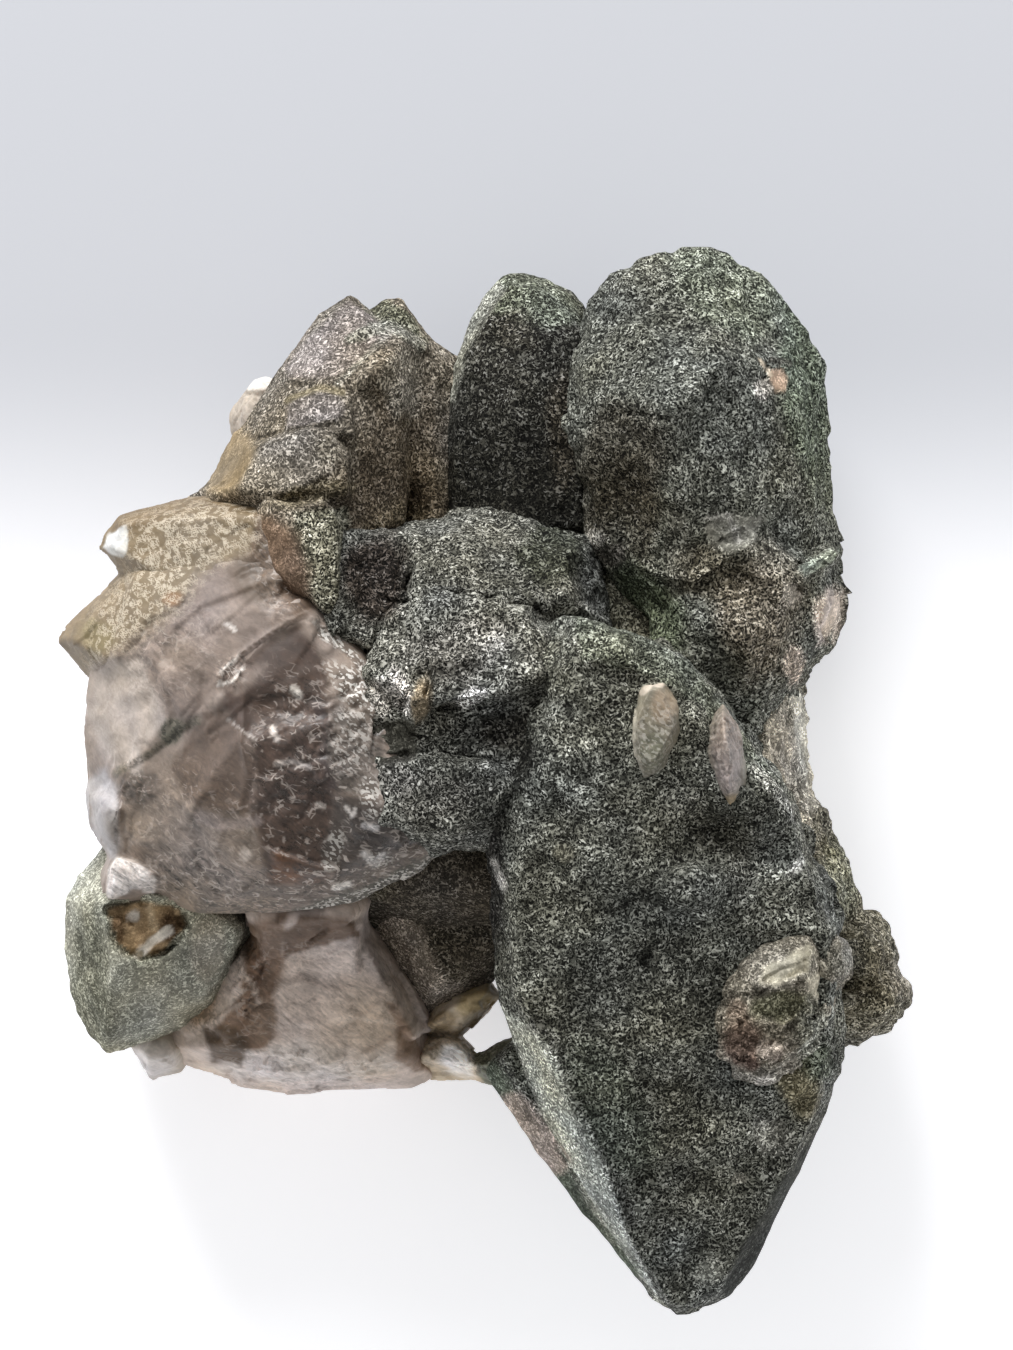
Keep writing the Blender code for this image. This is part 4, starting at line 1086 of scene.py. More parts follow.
def crust_material(name):
    """Chlorite over quartz. The tone attribute gives the mean colour and how speckled it is."""
    material, tree, surface = new_material(name)
    place = object_place(tree)
    bent = drifted(place, 1.2, 0.7)
    speckle = attribute(tree, "tone", 3)
    edges = curls(stretched(bent, CURLS, (0, 0, 30)), 0.08)
    faces = cloud(stretched(bent, FACES, (0, 20, -25)), 1.0, 1.0).step(0.53, 0.6)
    shine = part_of(scattered(stretched(bent, SHINES), output=1), 0)
    tone = attribute(tree, "tone", 0)
    silver = node(tree, "ShaderNodeRGBToBW", {}, {0: tone})
    dim = 1.0 - silver.step(0.02, 0.06)
    # Painted glints: each plate's shine lightens its colour, and further down turns it towards the tone's
    # grey.
    gleam = (0.1 + shine * shine * 0.9) * (1.0 - dim) + (0.08 + shine ** 3.0 * 1.4) * dim
    grit = cloud(place, 0.16, 2.0, 0.7).step(0.3, 0.7)
    clump = cloud(place, 1.6, 2.0, 0.6).step(0.3, 0.7)
    strokes = edges.above(faces)
    lit = strokes * gleam * (0.68 + clump * 0.52)
    crusted = GAP_LIGHT + grit * 0.2 + lit * (PLATE_LIGHT - GAP_LIGHT)
    level = crusted * speckle + (1.0 - speckle) * (0.8 + clump * 0.3 + grit * 0.26)
    colour = tinted(blend((lit * speckle * 0.45).below(1.0), tone, silver), level.above(0.03))
    surface.inputs["Specular IOR Level"].default_value = CRUST_MIRROR
    plug(surface, "Base Color", colour)
    smoother = lit * speckle * (GAP_ROUGH - PLATE_ROUGH)
    plug(surface, "Roughness", (GAP_ROUGH - smoother).above(PLATE_ROUGH))
    relief = strokes * 0.36 * (0.25 + speckle * 0.75) + clump * 0.6
    plug(surface, "Normal", bumped(tree, relief, CRUST_DEPTH))
    return material


chlorite = crust_material("chlorite_crust_finish")
print("finish:", chlorite.name, len(chlorite.node_tree.nodes), "nodes")

# %% [markdown]
# ## Bare quartz
#
# Broken quartz is clear where it is whole and milky where it is full of tiny cracks. So its finish is
# two shaders and a factor: a see-through one that bends light by quartz's own index and soaks some of
# it up as smoky quartz does, and a milky one that scatters light just under the skin. The tone's alpha
# is the factor. A second attribute, marks, says where hackles (short curved splinters that the break
# leaves), iron lace and dark chlorite dust lie; its alpha says where pale sugar-like grains lie.

# %% Quartz finish
def flakes(place, long, wide, turn, share):
    """Long angular flakes: a share of the cells, each up to a thin gap round it."""
    spread = stretched(drifted(place, 2.0, 1.0), (long, wide, wide), (0, 0, turn))
    chosen = part_of(scattered(spread, output=1), 1).step(1 - share, 1.02 - share)
    return chosen * scattered(spread, "DISTANCE_TO_EDGE").step(0.04, 0.12)


def rims(spread, half_wide):
    """The edges of flat breaks, where two cells meet."""
    return 1.0 - scattered(spread, "DISTANCE_TO_EDGE").step(half_wide * 0.3, half_wide)


def scratches(place, turn):
    """Fine lines along one direction, broken along their length."""
    lines = cloud(stretched(place, (1.3, 0.1, 0.24), (0, 0, turn)), 1.0, 1.0)
    return lines.step(0.54, 0.6) * cloud(place, 0.7, 1.0).step(0.4, 0.54)


def wisps(place, sizes, turn, half_wide, run):
    """Curled lines along one direction, each as long as a slower noise stays high."""
    return curls(stretched(place, sizes, (0, 0, turn)), half_wide) * cloud(place, run, 1.0).step(0.48, 0.6)


QUARTZ_INDEX = 1.544
CLEAR_TINT = (1.0, 0.97, 0.95, 1.0)
CLEAR_ROUGH, MILKY_ROUGH = 0.12, 0.6
MILK_SHARE, MILK_DEPTH, MILK_COLOURS = 0.2, 0.8, (1.0, 0.8, 0.7)
QUARTZ_DEPTH = 0.16

# Sizes in millimetres of sugar grains, large and small breaks, streaks and cracks.
GRAINS, LARGE, SMALL = (0.3, 0.2, 0.24), (3.4, 1.7, 2.4), (1.2, 0.55, 0.8)
STREAKS, CRACKS = (2.2, 0.3, 0.6), (5.0, 2.4, 3.2)

IRON, LACE_LINE, CRACK_LINE = rgb(112, 96, 68), rgb(198, 187, 168), rgb(84, 70, 62)
# The first colour is the white of splinters and flakes: partly their own white and partly painted glints.
SPLINTER_AND_GLINT, SUGAR_SHADE, SUGAR_GRAIN, DUST_SPOT = (
    rgb(200, 190, 182), rgb(76, 68, 60), rgb(218, 214, 208), rgb(52, 50, 42),
)


def marks_of(tree):
    """The four marks: hackles, iron lace, dust and sugar."""
    marks = attribute(tree, "marks", 0)
    return [part_of(marks, index) for index in range(3)] + [attribute(tree, "marks", 3)]


def quartz_material(name, smoke, smoke_density):
    """See-through and milky quartz by the tone and marks attributes."""
    material, tree, clear = new_material(name)
    place = object_place(tree)
    hackle, lace, dust, sugar = marks_of(tree)
    tone = attribute(tree, "tone", 0)
    bent = drifted(place, 2.5, 1.5)
    veil = cloud(bent, 1.8, 3.0, 0.62)
    grain = part_of(scattered(stretched(place, GRAINS, (0, 0, 40)), output=1), 0)
    large, small = stretched(bent, LARGE, (0, 0, 35)), stretched(bent, SMALL, (0, 10, 20))
    large_shade, small_shade = [part_of(scattered(spread, output=1), 2) for spread in (large, small)]
    shade = large_shade * 0.4 + small_shade * 0.6 - 0.5
    rim = rims(large, 0.05).above(rims(small, 0.09)) * cloud(place, 0.9, 2.0).step(0.5, 0.62)
    flake = flakes(place, 1.3, 0.4, 35, 0.04).above(flakes(place, 0.7, 0.3, -10, 0.03))
    flake = flake * cloud(place, 2.2, 1.0).step(0.48, 0.56)
    # White lines and flakes along the breaks: partly the splinters' own white and partly painted glints.
    white_line = (rim * 0.9 + flake).below(1.0) * hackle
    streak = cloud(stretched(bent, STREAKS, (0, 0, 35)), 1.0, 4.0, 0.65).step(0.3, 0.7) - 0.5
    crack = wisps(bent, CRACKS, 20, 0.02, 4.0)
    net = (scratches(place, -12) + scratches(place, 72) + scratches(place, 40)).below(1.0)
    lace_line = net * lace
    sugar_grain = grain.step(0.55, 0.75) * sugar
    dust_spot = (1.0 - grain.step(0.4, 0.6)) * dust
    colour = tinted(tone, 0.9 + veil.step(0.3, 0.7) * 0.2 + (grain - 0.5) * (0.14 + hackle * 0.4)
                    + shade * (0.08 + hackle * 0.6) + streak * (0.16 + hackle * 0.65))
    for mask, over in (
        (lace * 0.4 * veil.step(0.4, 0.6) * (1.0 - net), IRON), (lace_line * 0.7, LACE_LINE),
        (crack * (0.06 + hackle * 0.4), CRACK_LINE), (white_line * 0.6, SPLINTER_AND_GLINT),
        (sugar * 0.6 * (1.0 - sugar_grain), SUGAR_SHADE), (sugar_grain * 0.9, SUGAR_GRAIN),
        (dust_spot * 0.85, DUST_SPOT),
    ):
        colour = blend(mask, colour, over)
    covered = (white_line + lace_line + dust_spot + sugar) * 0.6
    milk = attribute(tree, "tone", 3) + (veil - 0.5) * (0.25 + hackle * 0.4) + covered
    breaks = tilts(large) * 2.0 + tilts(small)
    relief = breaks * (0.08 + hackle * 0.45) + veil * 0.2 + sugar_grain * 0.6
    normal = bumped(tree, relief, QUARTZ_DEPTH)
    milky = tree.nodes.new("ShaderNodeBsdfPrincipled")
    settings = {
        clear: {"Base Color": CLEAR_TINT, "Transmission Weight": 1.0, "Roughness": CLEAR_ROUGH},
        milky: {
            "Roughness": MILKY_ROUGH, "Subsurface Weight": MILK_SHARE,
            "Subsurface Radius": MILK_COLOURS, "Subsurface Scale": MILK_DEPTH * MM,
        },
    }
    for shader, values in settings.items():
        for socket, value in values.items():
            shader.inputs[socket].default_value = value
        shader.inputs["IOR"].default_value = QUARTZ_INDEX
        plug(shader, "Normal", normal)
    plug(milky, "Base Color", colour)
    mixed = node(tree, "ShaderNodeMixShader", {}, {
        0: milk.above(0.0).below(1.0), 1: Wire(clear.outputs["BSDF"]), 2: Wire(milky.outputs["BSDF"]),
    })
    out = tree.nodes["Material Output"]
    tree.links.new(mixed.socket, out.inputs["Surface"])
    depth = node(tree, "ShaderNodeVolumeAbsorption", {}, {"Color": smoke, "Density": smoke_density})
    tree.links.new(depth.socket, out.inputs["Volume"])
    return material


# What a metre of it would leave of white light, and how dense that is.
SMOKE, HONEY = (0.74, 0.64, 0.56, 1.0), (0.8, 0.66, 0.42, 1.0)
smoky = quartz_material("smoky_quartz", SMOKE, 80.0)
milky_plate = quartz_material("milky_quartz", SMOKE, 40.0)
amber = quartz_material("amber_quartz", HONEY, 120.0)
print("finishes:", smoky.name, milky_plate.name, amber.name)

# %% [markdown]
# ## Crusted crystals
#
# Each crusted crystal is grown from its corners. The crust settles in the corners between crystals,
# so first it rises there. Then it is roughened along its own normals: a slow undulation, knobs a
# millimetre or two across, and a fine tooth near the size of the mesh. Mounds, grooves, ledges and
# flat faces go where the photo shows them. Then its zones are painted.

# %% Roughening
SKIN = 0.32
CORNER_REACH, CORNER_HEIGHT = 4.5, 1.5


def corners_filled(piece, neighbours, height):
    """Fills the corners towards the neighbours, and gives the piece's points and normals after it."""
    points, normals = read_points(piece.data), read_normals(piece.data)
    if neighbours:
        rise = rise_in_corners(points, normals, neighbours, CORNER_REACH, height)
        write_points(piece.data, points + normals * rise[:, None])
        points, normals = read_points(piece.data), read_normals(piece.data)
    return points, normals


def raised(piece, points, normals, height, features):
    """Adds the named features on the front and moves each point along its normal by the height."""
    front = np.clip(normals[:, 2] * 1.5, 0, 1)
    for shape, *values in features:
        height = height + shape(points, *values) * front
    write_points(piece.data, points + normals * height[:, None])


def roughened(
    piece, seed, wide=0.5, knob=0.28, tooth=0.11, knob_size=1.4, features=(), neighbours=None, smooth=(),
):
    """Moves each point along its normal by corner fill, undulation, knobs, tooth and features.

    Inside the smooth outlines the undulation and the knobs are only a quarter as high.
    """
    points, normals = corners_filled(piece, neighbours, CORNER_HEIGHT)
    bent = points + noise(points, 2.5, seed)[:, None] * 0.7
    crest = knobs(bent, knob_size, seed) * knob + layered(points, 0.9, 2, seed + 3) * tooth
    crest += layered(bent, 2.6, 2, seed + 5) * wide * 0.5
    height = layered(bent, 7.0, 2, seed) * wide + crest
    for outline in smooth:
        height *= 1 - 0.75 * area(points, outline, 0.5)
    raised(piece, points, normals, height, features)
    stored(piece, "crest", crest)


def knobby(points, x, y, half_long, half_wide, degrees, size, height):
    """Coarser knobs inside an ellipse."""
    bent = points + noise(points, 2.0, 4)[:, None] * 0.5
    return knobs(bent, size, 8) * height * patch(points, x, y, half_long, half_wide, degrees)


def splintered(points, x, y, half_long, half_wide, degrees, size, height):
    """Small steep breaks inside an ellipse, where the quartz is splintery."""
    cuts = facets(points, (size, size * 0.4, size * 0.6), degrees + 30, height * 0.6, height, 33)
    return cuts * patch(points, x, y, half_long, half_wide, degrees)


print("skin of the crusted crystals:", SKIN, "mm from point to point")

# %% [markdown]
# ## The great crystal
#
# The largest crystal points down and away. It could be sculpted by hand, but long flat faces come out
# straighter from the hull of their corners, and the crust goes on as relief. Its narrow side face and
# its lower right stay nearly smooth, as on the real one.

# %% Great crystal
FRONT_RIDGE = [(0.7, -18.8), (3.4, -20.6), (5.3, -22.9), (9.2, -30.8), (11.5, -37.9), (14.7, -44.8)]
REAR_EDGE = [(14.1, -43.8), (9.8, -38.4), (7, -33.1), (4.7, -28.5), (2.6, -22.9), (1.1, -19.6)]
SIDE_FACE = FRONT_RIDGE + REAR_EDGE
SIDE_AND_FLANK = FRONT_RIDGE + [(15, -47), (-2, -30), (-2, -22), (-0.6, -17)]
LOWER_RIGHT = [(28, -25), (26.4, -27.6), (22, -36.6), (17.6, -43.4), (20, -47), (34, -30)]
# The shaded side face at the lower right, painted dark as painted shade.
PAINTED_SHADE_SIDE = [
    (30.4, -25), (29.2, -27.8), (27.7, -29.9), (25.5, -33), (23.6, -36), (21.8, -38.9), (20.5, -41.9),
    (19.8, -44.4), (32, -40), (36, -25),
]
UPPER_BEVEL = [
    (7.3, 14.2), (12.5, 12.9), (17, 10.1), (20.3, 6.2), (24, 0.6), (22.6, 0.2), (18.2, 6.4), (14, 9),
    (8, 10.4),
]

great = grown_piece("great_crystal", {
    **GREAT_CRYSTAL, **{name: ON_GREAT_CRYSTAL[name] for name in ("swell", "shoulder")},
}, SKIN)
roughened(
    great, 11, 0.7, 0.34, 0.12, neighbours={**MIDDLE_BLOCK, **DOME, **REAR_RIDGE},
    smooth=(SIDE_AND_FLANK, LOWER_RIGHT),
    features=[
        (mound, 20, -4.6, 4.5, 1.5, -20, -1.5), (mound, 6.1, -5.8, 0.9, 0.7, 0, 0.5),
        (mound, 9, -6, 2.4, 3.2, 20, 0.5), (mound, 14, -14.5, 5, 3, 10, -0.7),
        (mound, 16.5, -9, 3.5, 2.2, -20, 0.7), (mound, 26, -7.2, 0.9, 0.4, 50, 0.4),
        (mound, 11, 3, 2.5, 5, 0, 0.5), (mound, 8, -14, 2, 5, 15, 0.5), (crease, FRONT_RIDGE, 0.6, 0.3),
        (ledge, [(6.5, 9.6), (9, 10.2), (12, 10), (14.4, 8.5)], 0.8, 2.5),
        (mound, 26.5, -26, 1.6, 1.6, 0, 0.5), (mound, 17, -30, 4, 6, 20, 0.5),
        (mound, 11.5, -24, 2, 5, 25, -0.4), (crease, [(24, 0.5), (22.6, -3), (20, -6.5)], 0.7, 0.5),
        (crease, [(18, 1), (19.5, -2), (23, -4.5)], 0.9, 0.5),
        (crease, [(12.8, -12), (16, -18), (19, -22)], 0.9, 0.4),
    ],
)
painted(great, (79, 80, 73), [
    ((78, 82, 71), 0.8, area, UPPER_BEVEL), ((96, 98, 92), 0.7, patch, 7.2, 2, 2.2, 6, 15),
    # The narrow side face is painted paler: partly its smoother crust and partly painted light, as it faces
    # the light. A thin painted highlight runs along the front ridge.
    ((140, 143, 134, 0.7), 1, area, SIDE_FACE), ((164, 166, 160, 0.6), 0.6, band, FRONT_RIDGE[1:], 0.2),
    ((58, 58, 54), 0.8, band, [(x + 0.75, y + 0.3) for x, y in FRONT_RIDGE[1:-1]], 0.55),
    # Painted shade in the crease along the left edge, against the middle block and the recess below it.
    ((34, 32, 29), 0.9, patch, 0, -8, 1.6, 9), ((34, 33, 28), 0.9, patch, 2.4, 3, 1.8, 3.4),
    # Painted shade over the side face at the lower right.
    ((46, 47, 43, 0.4), 0.95, area, PAINTED_SHADE_SIDE, 0.25),
    ((70, 78, 66, 0.6), 0.9, band, [(-0.6, -23.5), (3, -29.5), (7.6, -36.5), (12, -42)], 1.2),
    ((150, 137, 128, 0.4), 0.8, band, [(2.2, -27.8), (4.3, -30.4), (5.4, -32.2)], 1.5),
    # Painted shade in the two hollows of the face.
    ((66, 66, 61), 0.7, patch, 20.4, -5, 3.8, 1.8, -20), ((62, 63, 58), 0.7, patch, 13, -15, 5, 3, 10),
    ((86, 86, 80), 0.7, patch, 22.5, -8, 3, 2.4), ((62, 63, 58), 0.7, patch, 16.5, -9.4, 3.4, 1.8, -20),
    ((122, 122, 114), 0.7, patch, 16.8, -2, 2.2, 1.8), ((64, 70, 60), 0.6, patch, 10, -27, 3, 6, 25),
    ((124, 124, 114, 0.5), 0.8, patch, 18.8, -41.6, 1.3, 1, 20),
    ((88, 82, 62, 0.6), 0.85, patch, 26.4, -26, 1.7, 2.6, 10),
    ((136, 136, 130, 0.7), 0.8, patch, 24, -30, 1.5, 1.8, 30),
    ((138, 136, 128, 0.5), 0.7, patch, 21.4, -33.6, 0.8, 0.5),
    ((74, 80, 64), 0.7, patch, 28, -23.4, 1.6, 1.6),
    ((190, 188, 182, 0.4), 0.8, patch, 26, -7.2, 0.9, 0.45, 50),
    ((124, 124, 118), 0.75, band, [(22.4, 1.2), (24.2, -0.6), (25.6, -2.6)], 0.6),
    ((120, 118, 104, 0.7), 0.7, patch, 6.3, -5.9, 0.9, 0.7),
    ((122, 124, 116), 0.8, patch, 25, -9.8, 2.6, 5, 20),
    ((170, 168, 164, 0.5), 0.8, band, [(0.5, -6.7), (1.4, -8.8)], 0.35),
])
finish_piece(great, chlorite)

# %% [markdown]
# ## The dome and the finger
#
# The dome is a blunt crystal with a rough crown, a brow across its front and a brown foot. Two webs
# fill the notches under the brow and above the foot, where hulls alone would leave sharp grooves. The
# finger is a narrow dark crystal set back beside it, with little relief.

# %% Dome and finger
DOME_WEB = dict(rim=[
    (14, 20, 24), (24, 24, 22), (28, 20, 18), (27, 12, 18), (17, 10, 26), (14.4, 14, 24),
], face=[
    (15.6, 19.6, 30.8), (21.5, 21, 30.8), (25.6, 19, 26.8), (24.4, 12.4, 29.6), (18.6, 12.6, 30.2),
    (15.6, 15, 28.4),
], back=18)
BROW_WEB = dict(rim=[
    (7.4, 33.4, 23), (16.6, 33.4, 28), (17.4, 26.4, 28), (7.9, 25.6, 24),
], face=[(8.4, 32.8, 28.4), (14.8, 32, 33.7), (16, 26.6, 33), (8.8, 26.6, 27.7)], back=20)
dome = grown_piece("dome_crystal", {**DOME, "web": DOME_WEB, "brow_web": BROW_WEB}, 0.3)
roughened(dome, 23, wide=0.45, knob=0.26, tooth=0.14, knob_size=1.3, neighbours={
    **MIDDLE_BLOCK, **GREAT_CRYSTAL, **REAR_RIDGE, **DOME,
}, features=[
    (mound, 24.3, 34.4, 1.2, 1.2, 20, -1.2), (mound, 12, 22, 3, 5, 10, -0.5),
    (mound, 21.3, 21.5, 2, 1.6, 0, -0.3), (crease, [(21.2, 17.5), (23.5, 15.5), (24.5, 12)], 0.8, -0.6),
    (mound, 23, 13, 1.4, 1.2, 0, 0.6), (mound, 26.5, 11, 1, 1.4, 0, 0.6),
    (knobby, 22, 31, 5, 14, 0, 1.7, 0.6), (knobby, 14, 43, 8, 3, 0, 1.4, 0.4),
    (crease, [(18, 45), (20.4, 39), (20, 36), (15.6, 31), (15.5, 27), (17, 22)], 0.9, 0.3),
    (crease, [(7.1, 36), (7.2, 31)], 0.5, -0.4), (knobby, 23, 14, 5, 6, 0, 1.5, 0.5),
])
painted(dome, (82, 83, 75), [
    # The crown and the right edge are painted lighter and greener: partly green crust and partly painted rim
    # light.
    ((92, 97, 83), 0.8, patch, 21, 42, 6, 3.5, -30), ((84, 94, 76), 0.7, patch, 27, 34, 2.2, 9, 8),
    # Under the brow the dome is painted darker and browner: partly its brown crust and partly painted shade
    # under the brow.
    ((70, 71, 64), 0.8, patch, 12.5, 36.4, 5.5, 5, 10), ((70, 66, 56), 0.85, patch, 11.2, 27, 4.6, 4.4),
    ((64, 59, 48), 0.9, patch, 11.4, 23, 4.4, 4.6, 15), ((72, 70, 60), 0.8, patch, 11.4, 19, 3.6, 4),
    ((62, 69, 51), 0.85, patch, 13.6, 14.5, 3, 4.4, 30), ((104, 95, 80), 0.8, patch, 22.5, 14.5, 4.6, 5.5),
    ((122, 121, 113, 0.25), 0.95, area, [
        (18.4, 21.6), (19.8, 22.8), (21.6, 22.4), (23.2, 22.6), (22.8, 20.6), (21, 19.4), (19, 19.8),
    ], 0.2),
    ((150, 148, 142, 0.4), 0.8, band, [(18.6, 22.4), (20.4, 22.6), (21.2, 20.4)], 0.3),
    ((84, 77, 61), 0.7, patch, 18.6, 17.6, 3, 2.4), ((88, 86, 78, 0.9), 0.6, patch, 16, 20, 1.2, 4),
    ((92, 86, 78, 0.9), 0.7, patch, 10.4, 19.2, 1.2, 1),
    ((170, 146, 124, 0.15), 0.95, area, [
        (23.9, 34.9), (24.9, 35.2), (25.5, 34.2), (25.2, 33.1), (24.4, 33.2),
    ], 0.15),
    ((132, 127, 118, 0.8), 0.9, area, [
        (22.5, 33.8), (23.6, 34.2), (24.2, 33.4), (23.6, 32.3), (22.6, 32.6),
    ], 0.2),
    ((186, 172, 150, 0), 1, band, [(23.1, 35.8), (24, 34.5)], 0.18),
    ((50, 46, 40, 0.8), 0.8, band, [(24.1, 35.9), (25.6, 35.6)], 0.4),
    ((204, 190, 178, 0.1), 0.95, patch, 29, 14.2, 1.6, 2.2, -15),
    ((150, 158, 146, 0.2), 0.85, patch, 28, 18.6, 2.2, 0.6, 30),
    ((160, 146, 134, 0.6), 0.7, patch, 26, 10, 1, 1.8),
    ((150, 143, 132, 0.4), 0.8, area, [
        (25.2, 17), (26.2, 16.9), (26.6, 15.6), (25.9, 14.9), (25, 15.5),
    ], 0.2),
    ((166, 160, 148, 0.7), 0.7, patch, 9, 20.6, 1, 0.8),
])
finish_piece(dome, chlorite)

finger = grown_piece("finger_crystal", FINGER, SKIN, 16.0)
roughened(finger, 31, wide=0.25, knob=0.2, features=[(crease, [(1.9, 42.2), (0, 39), (-1.2, 35)], 0.7, 0.3)])
# The finger's dark colour is partly its brown crust and partly painted shade of its recess. Its foot is
# painted darker still, as painted shade, and its left rim paler, as painted light on its lit side face.
painted(finger, (49, 48, 42), [
    ((84, 88, 74), 0.9, patch, 4, 41.2, 5, 2.2, -15), ((30, 29, 24), 0.9, patch, 2, 24.5, 8, 6),
    ((116, 116, 106, 0.7), 0.9, band, [(-3.4, 33), (-2.6, 36.5), (-1, 39.8), (0.8, 42)], 0.8),
    ((58, 54, 44), 0.5, patch, 2.6, 38.2, 2, 2), ((56, 50, 40), 0.6, patch, 6.6, 30, 1.6, 6),
])
finish_piece(finger, chlorite)

# %% [markdown]
# ## The middle block
#
# Three growth ledges step down between the great crystal and the broken quartz. They could be cut with
# booleans, but hulls laid one over another keep each ledge flat and its edge crusted. One square facet
# is laid flat afterwards, because it is the only smooth place.

# %% Middle block
SQUARE_FACET = [(-9.8, 4.9), (-6.6, 5.4), (-5.9, 4.2), (-6.1, 2.4), (-8.9, 1.7), (-9.9, 3)]

LEFT_RECESS = dict(rim=[
    (-13.8, 20, 24), (-7, 21, 24), (-7.4, 12, 27), (-13.4, 11.6, 27),
], face=[(-13, 19.6, 30.4), (-8, 20, 29.2), (-8.6, 12.6, 32), (-13, 12.6, 32.6)], back=18)
block = grown_piece("stepped_block", {**MIDDLE_BLOCK, "left_recess": LEFT_RECESS}, 0.29)
faced(block, [[(x, y, -0.3) for x, y in SQUARE_FACET]], 0.8)
roughened(block, 37, wide=0.5, knob=0.34, tooth=0.14, neighbours={
    **GREAT_CRYSTAL, **DOME, **FINGER, **SPIRE, **MIDDLE_BLOCK,
}, features=[
    (mound, -4, 18, 3, 1.6, -10, 0.5), (mound, 2, 11, 2.4, 2.4, 0, 0.4), (knobby, 0, 18, 9, 3, 0, 1.7, 0.4),
    (crease, [(-9, 12.5), (-4, 12), (2, 13)], 0.8, -0.4), (crease, [(-7, 10), (-1, 10.6), (3, 9)], 0.6, 0.4),
    (crease, [(4, 14), (5, 17.5), (4.4, 20)], 0.8, -0.4), (knobby, -3, 11, 6, 4, 0, 1.4, 0.4),
])
painted(block, (84, 84, 78), [
    ((76, 76, 70), 0.7, patch, -4.5, 18.8, 4, 2.4, -10), ((86, 84, 80), 0.7, patch, -3, 11, 5, 3, 20),
    ((72, 72, 65), 0.7, patch, 3, 17.4, 4, 3), ((48, 50, 38), 0.85, patch, 5.5, 19.5, 3.2, 2.6),
    # Painted shade in the set-back band under the second ledge.
    ((46, 44, 38), 0.9, patch, 2.2, 4.2, 3.6, 1.6, -5),
    # Painted shade in the left recess.
    ((40, 33, 27), 0.95, patch, -9.4, 17.2, 2.8, 4.4, -10), ((52, 52, 46), 0.8, patch, -3.4, 1.6, 2.6, 1.6),
    ((58, 58, 52), 0.8, patch, 1.5, -1.6, 3.4, 2.6), ((148, 144, 138, 0.9), 0.9, patch, -9.2, 7, 1.2, 1.6),
    # The pale spots on this line and the next: partly pale thin crust and partly painted glints on flat
    # facets.
    ((180, 175, 170), 0.8, patch, -7.4, 7.8, 0.9, 1.9, 10), ((62, 60, 54), 0.7, patch, -5, -1.6, 3.6, 2.2),
    ((190, 187, 182), 0.8, patch, -1.4, 7.3, 1.4, 0.7, 15),
    ((54, 53, 47, 0.4), 0.95, area, SQUARE_FACET, 0.2),
    ((34, 32, 28, 0.4), 0.8, band, [(-8.9, 1.7), (-6.3, 2.2)], 0.35),
    ((84, 82, 78), 0.7, patch, -7.6, 0.2, 2, 1.6),
    ((134, 120, 98, 0.3), 0.85, patch, -5.6, 6.8, 0.8, 2.2, -10),
    ((128, 126, 120), 0.6, patch, 0.2, 12.6, 1.2, 2, 40),
])
finish_piece(block, chlorite)

# %% [markdown]
# ## The left spire
#
# A stepped spire of blunt crystals with two ledges, a lit face and a crusted flange. Its planes are
# what the eye reads, so after it has grown, four outlines are laid flat on its skin. That needs no
# further corners in the hulls.

# %% Left spire
LIT_FACE = [(-11.8, 41.2), (-17.3, 35.4), (-16.9, 34.3), (-12.9, 33.8), (-8.1, 38.1), (-9.4, 39.4)]
UPPER_LEDGE = [(-16.9, 32.3), (-14.2, 33.3), (-12.6, 32.9), (-12.3, 31.6), (-12.8, 30.7), (-17.2, 29.9)]
LOWER_LEDGE = [
    (-20.6, 27.6), (-18.6, 28.7), (-15.2, 29.9), (-13.2, 28.9), (-12.4, 27.2), (-13.8, 25.9), (-17, 24.6),
    (-21.4, 25.3),
]
FLANGE_FACE = [
    (-16.6, 23), (-12.2, 23.3), (-11.4, 20), (-11.4, 15.4), (-13.2, 13.6), (-15, 15.6), (-15.8, 19),
]


def tilted(outline, across, along, middle_lift=0.0):
    """An outline's corners with lifts of a plane: across and along are its rise per millimetre."""
    x0, y0 = np.mean(outline, axis=0)
    return [(x, y, (x - x0) * across + (y - y0) * along + middle_lift) for x, y in outline]


spire = grown_piece(
    "left_spire", {name: shape for name, shape in SPIRE.items() if name != "white_crystal"}, 0.27, 20.0,
)
faced(spire, [
    tilted(LIT_FACE, 0.1, -0.1), tilted(UPPER_LEDGE, 0.05, -0.3, 0.2), tilted(LOWER_LEDGE, 0.05, -0.25, 0.3),
    tilted(FLANGE_FACE, 0.05, 0, 0.2),
], 0.35)
roughened(
    spire, 41, wide=0.2, knob=0.17, tooth=0.09, neighbours={**MIDDLE_BLOCK, **FINGER, **ARMS},
    features=[
        (crease, [(-17.3, 33.9), (-12.9, 33.4)], 0.35, -0.4),
        (crease, [(-11.8, 37.4), (-10.4, 38.2), (-8, 38.5), (-5.8, 37)], 0.6, 0.5),
        (crease, [(-7.6, 35), (-9.4, 31), (-9, 26)], 0.7, -0.25),
    ],
)
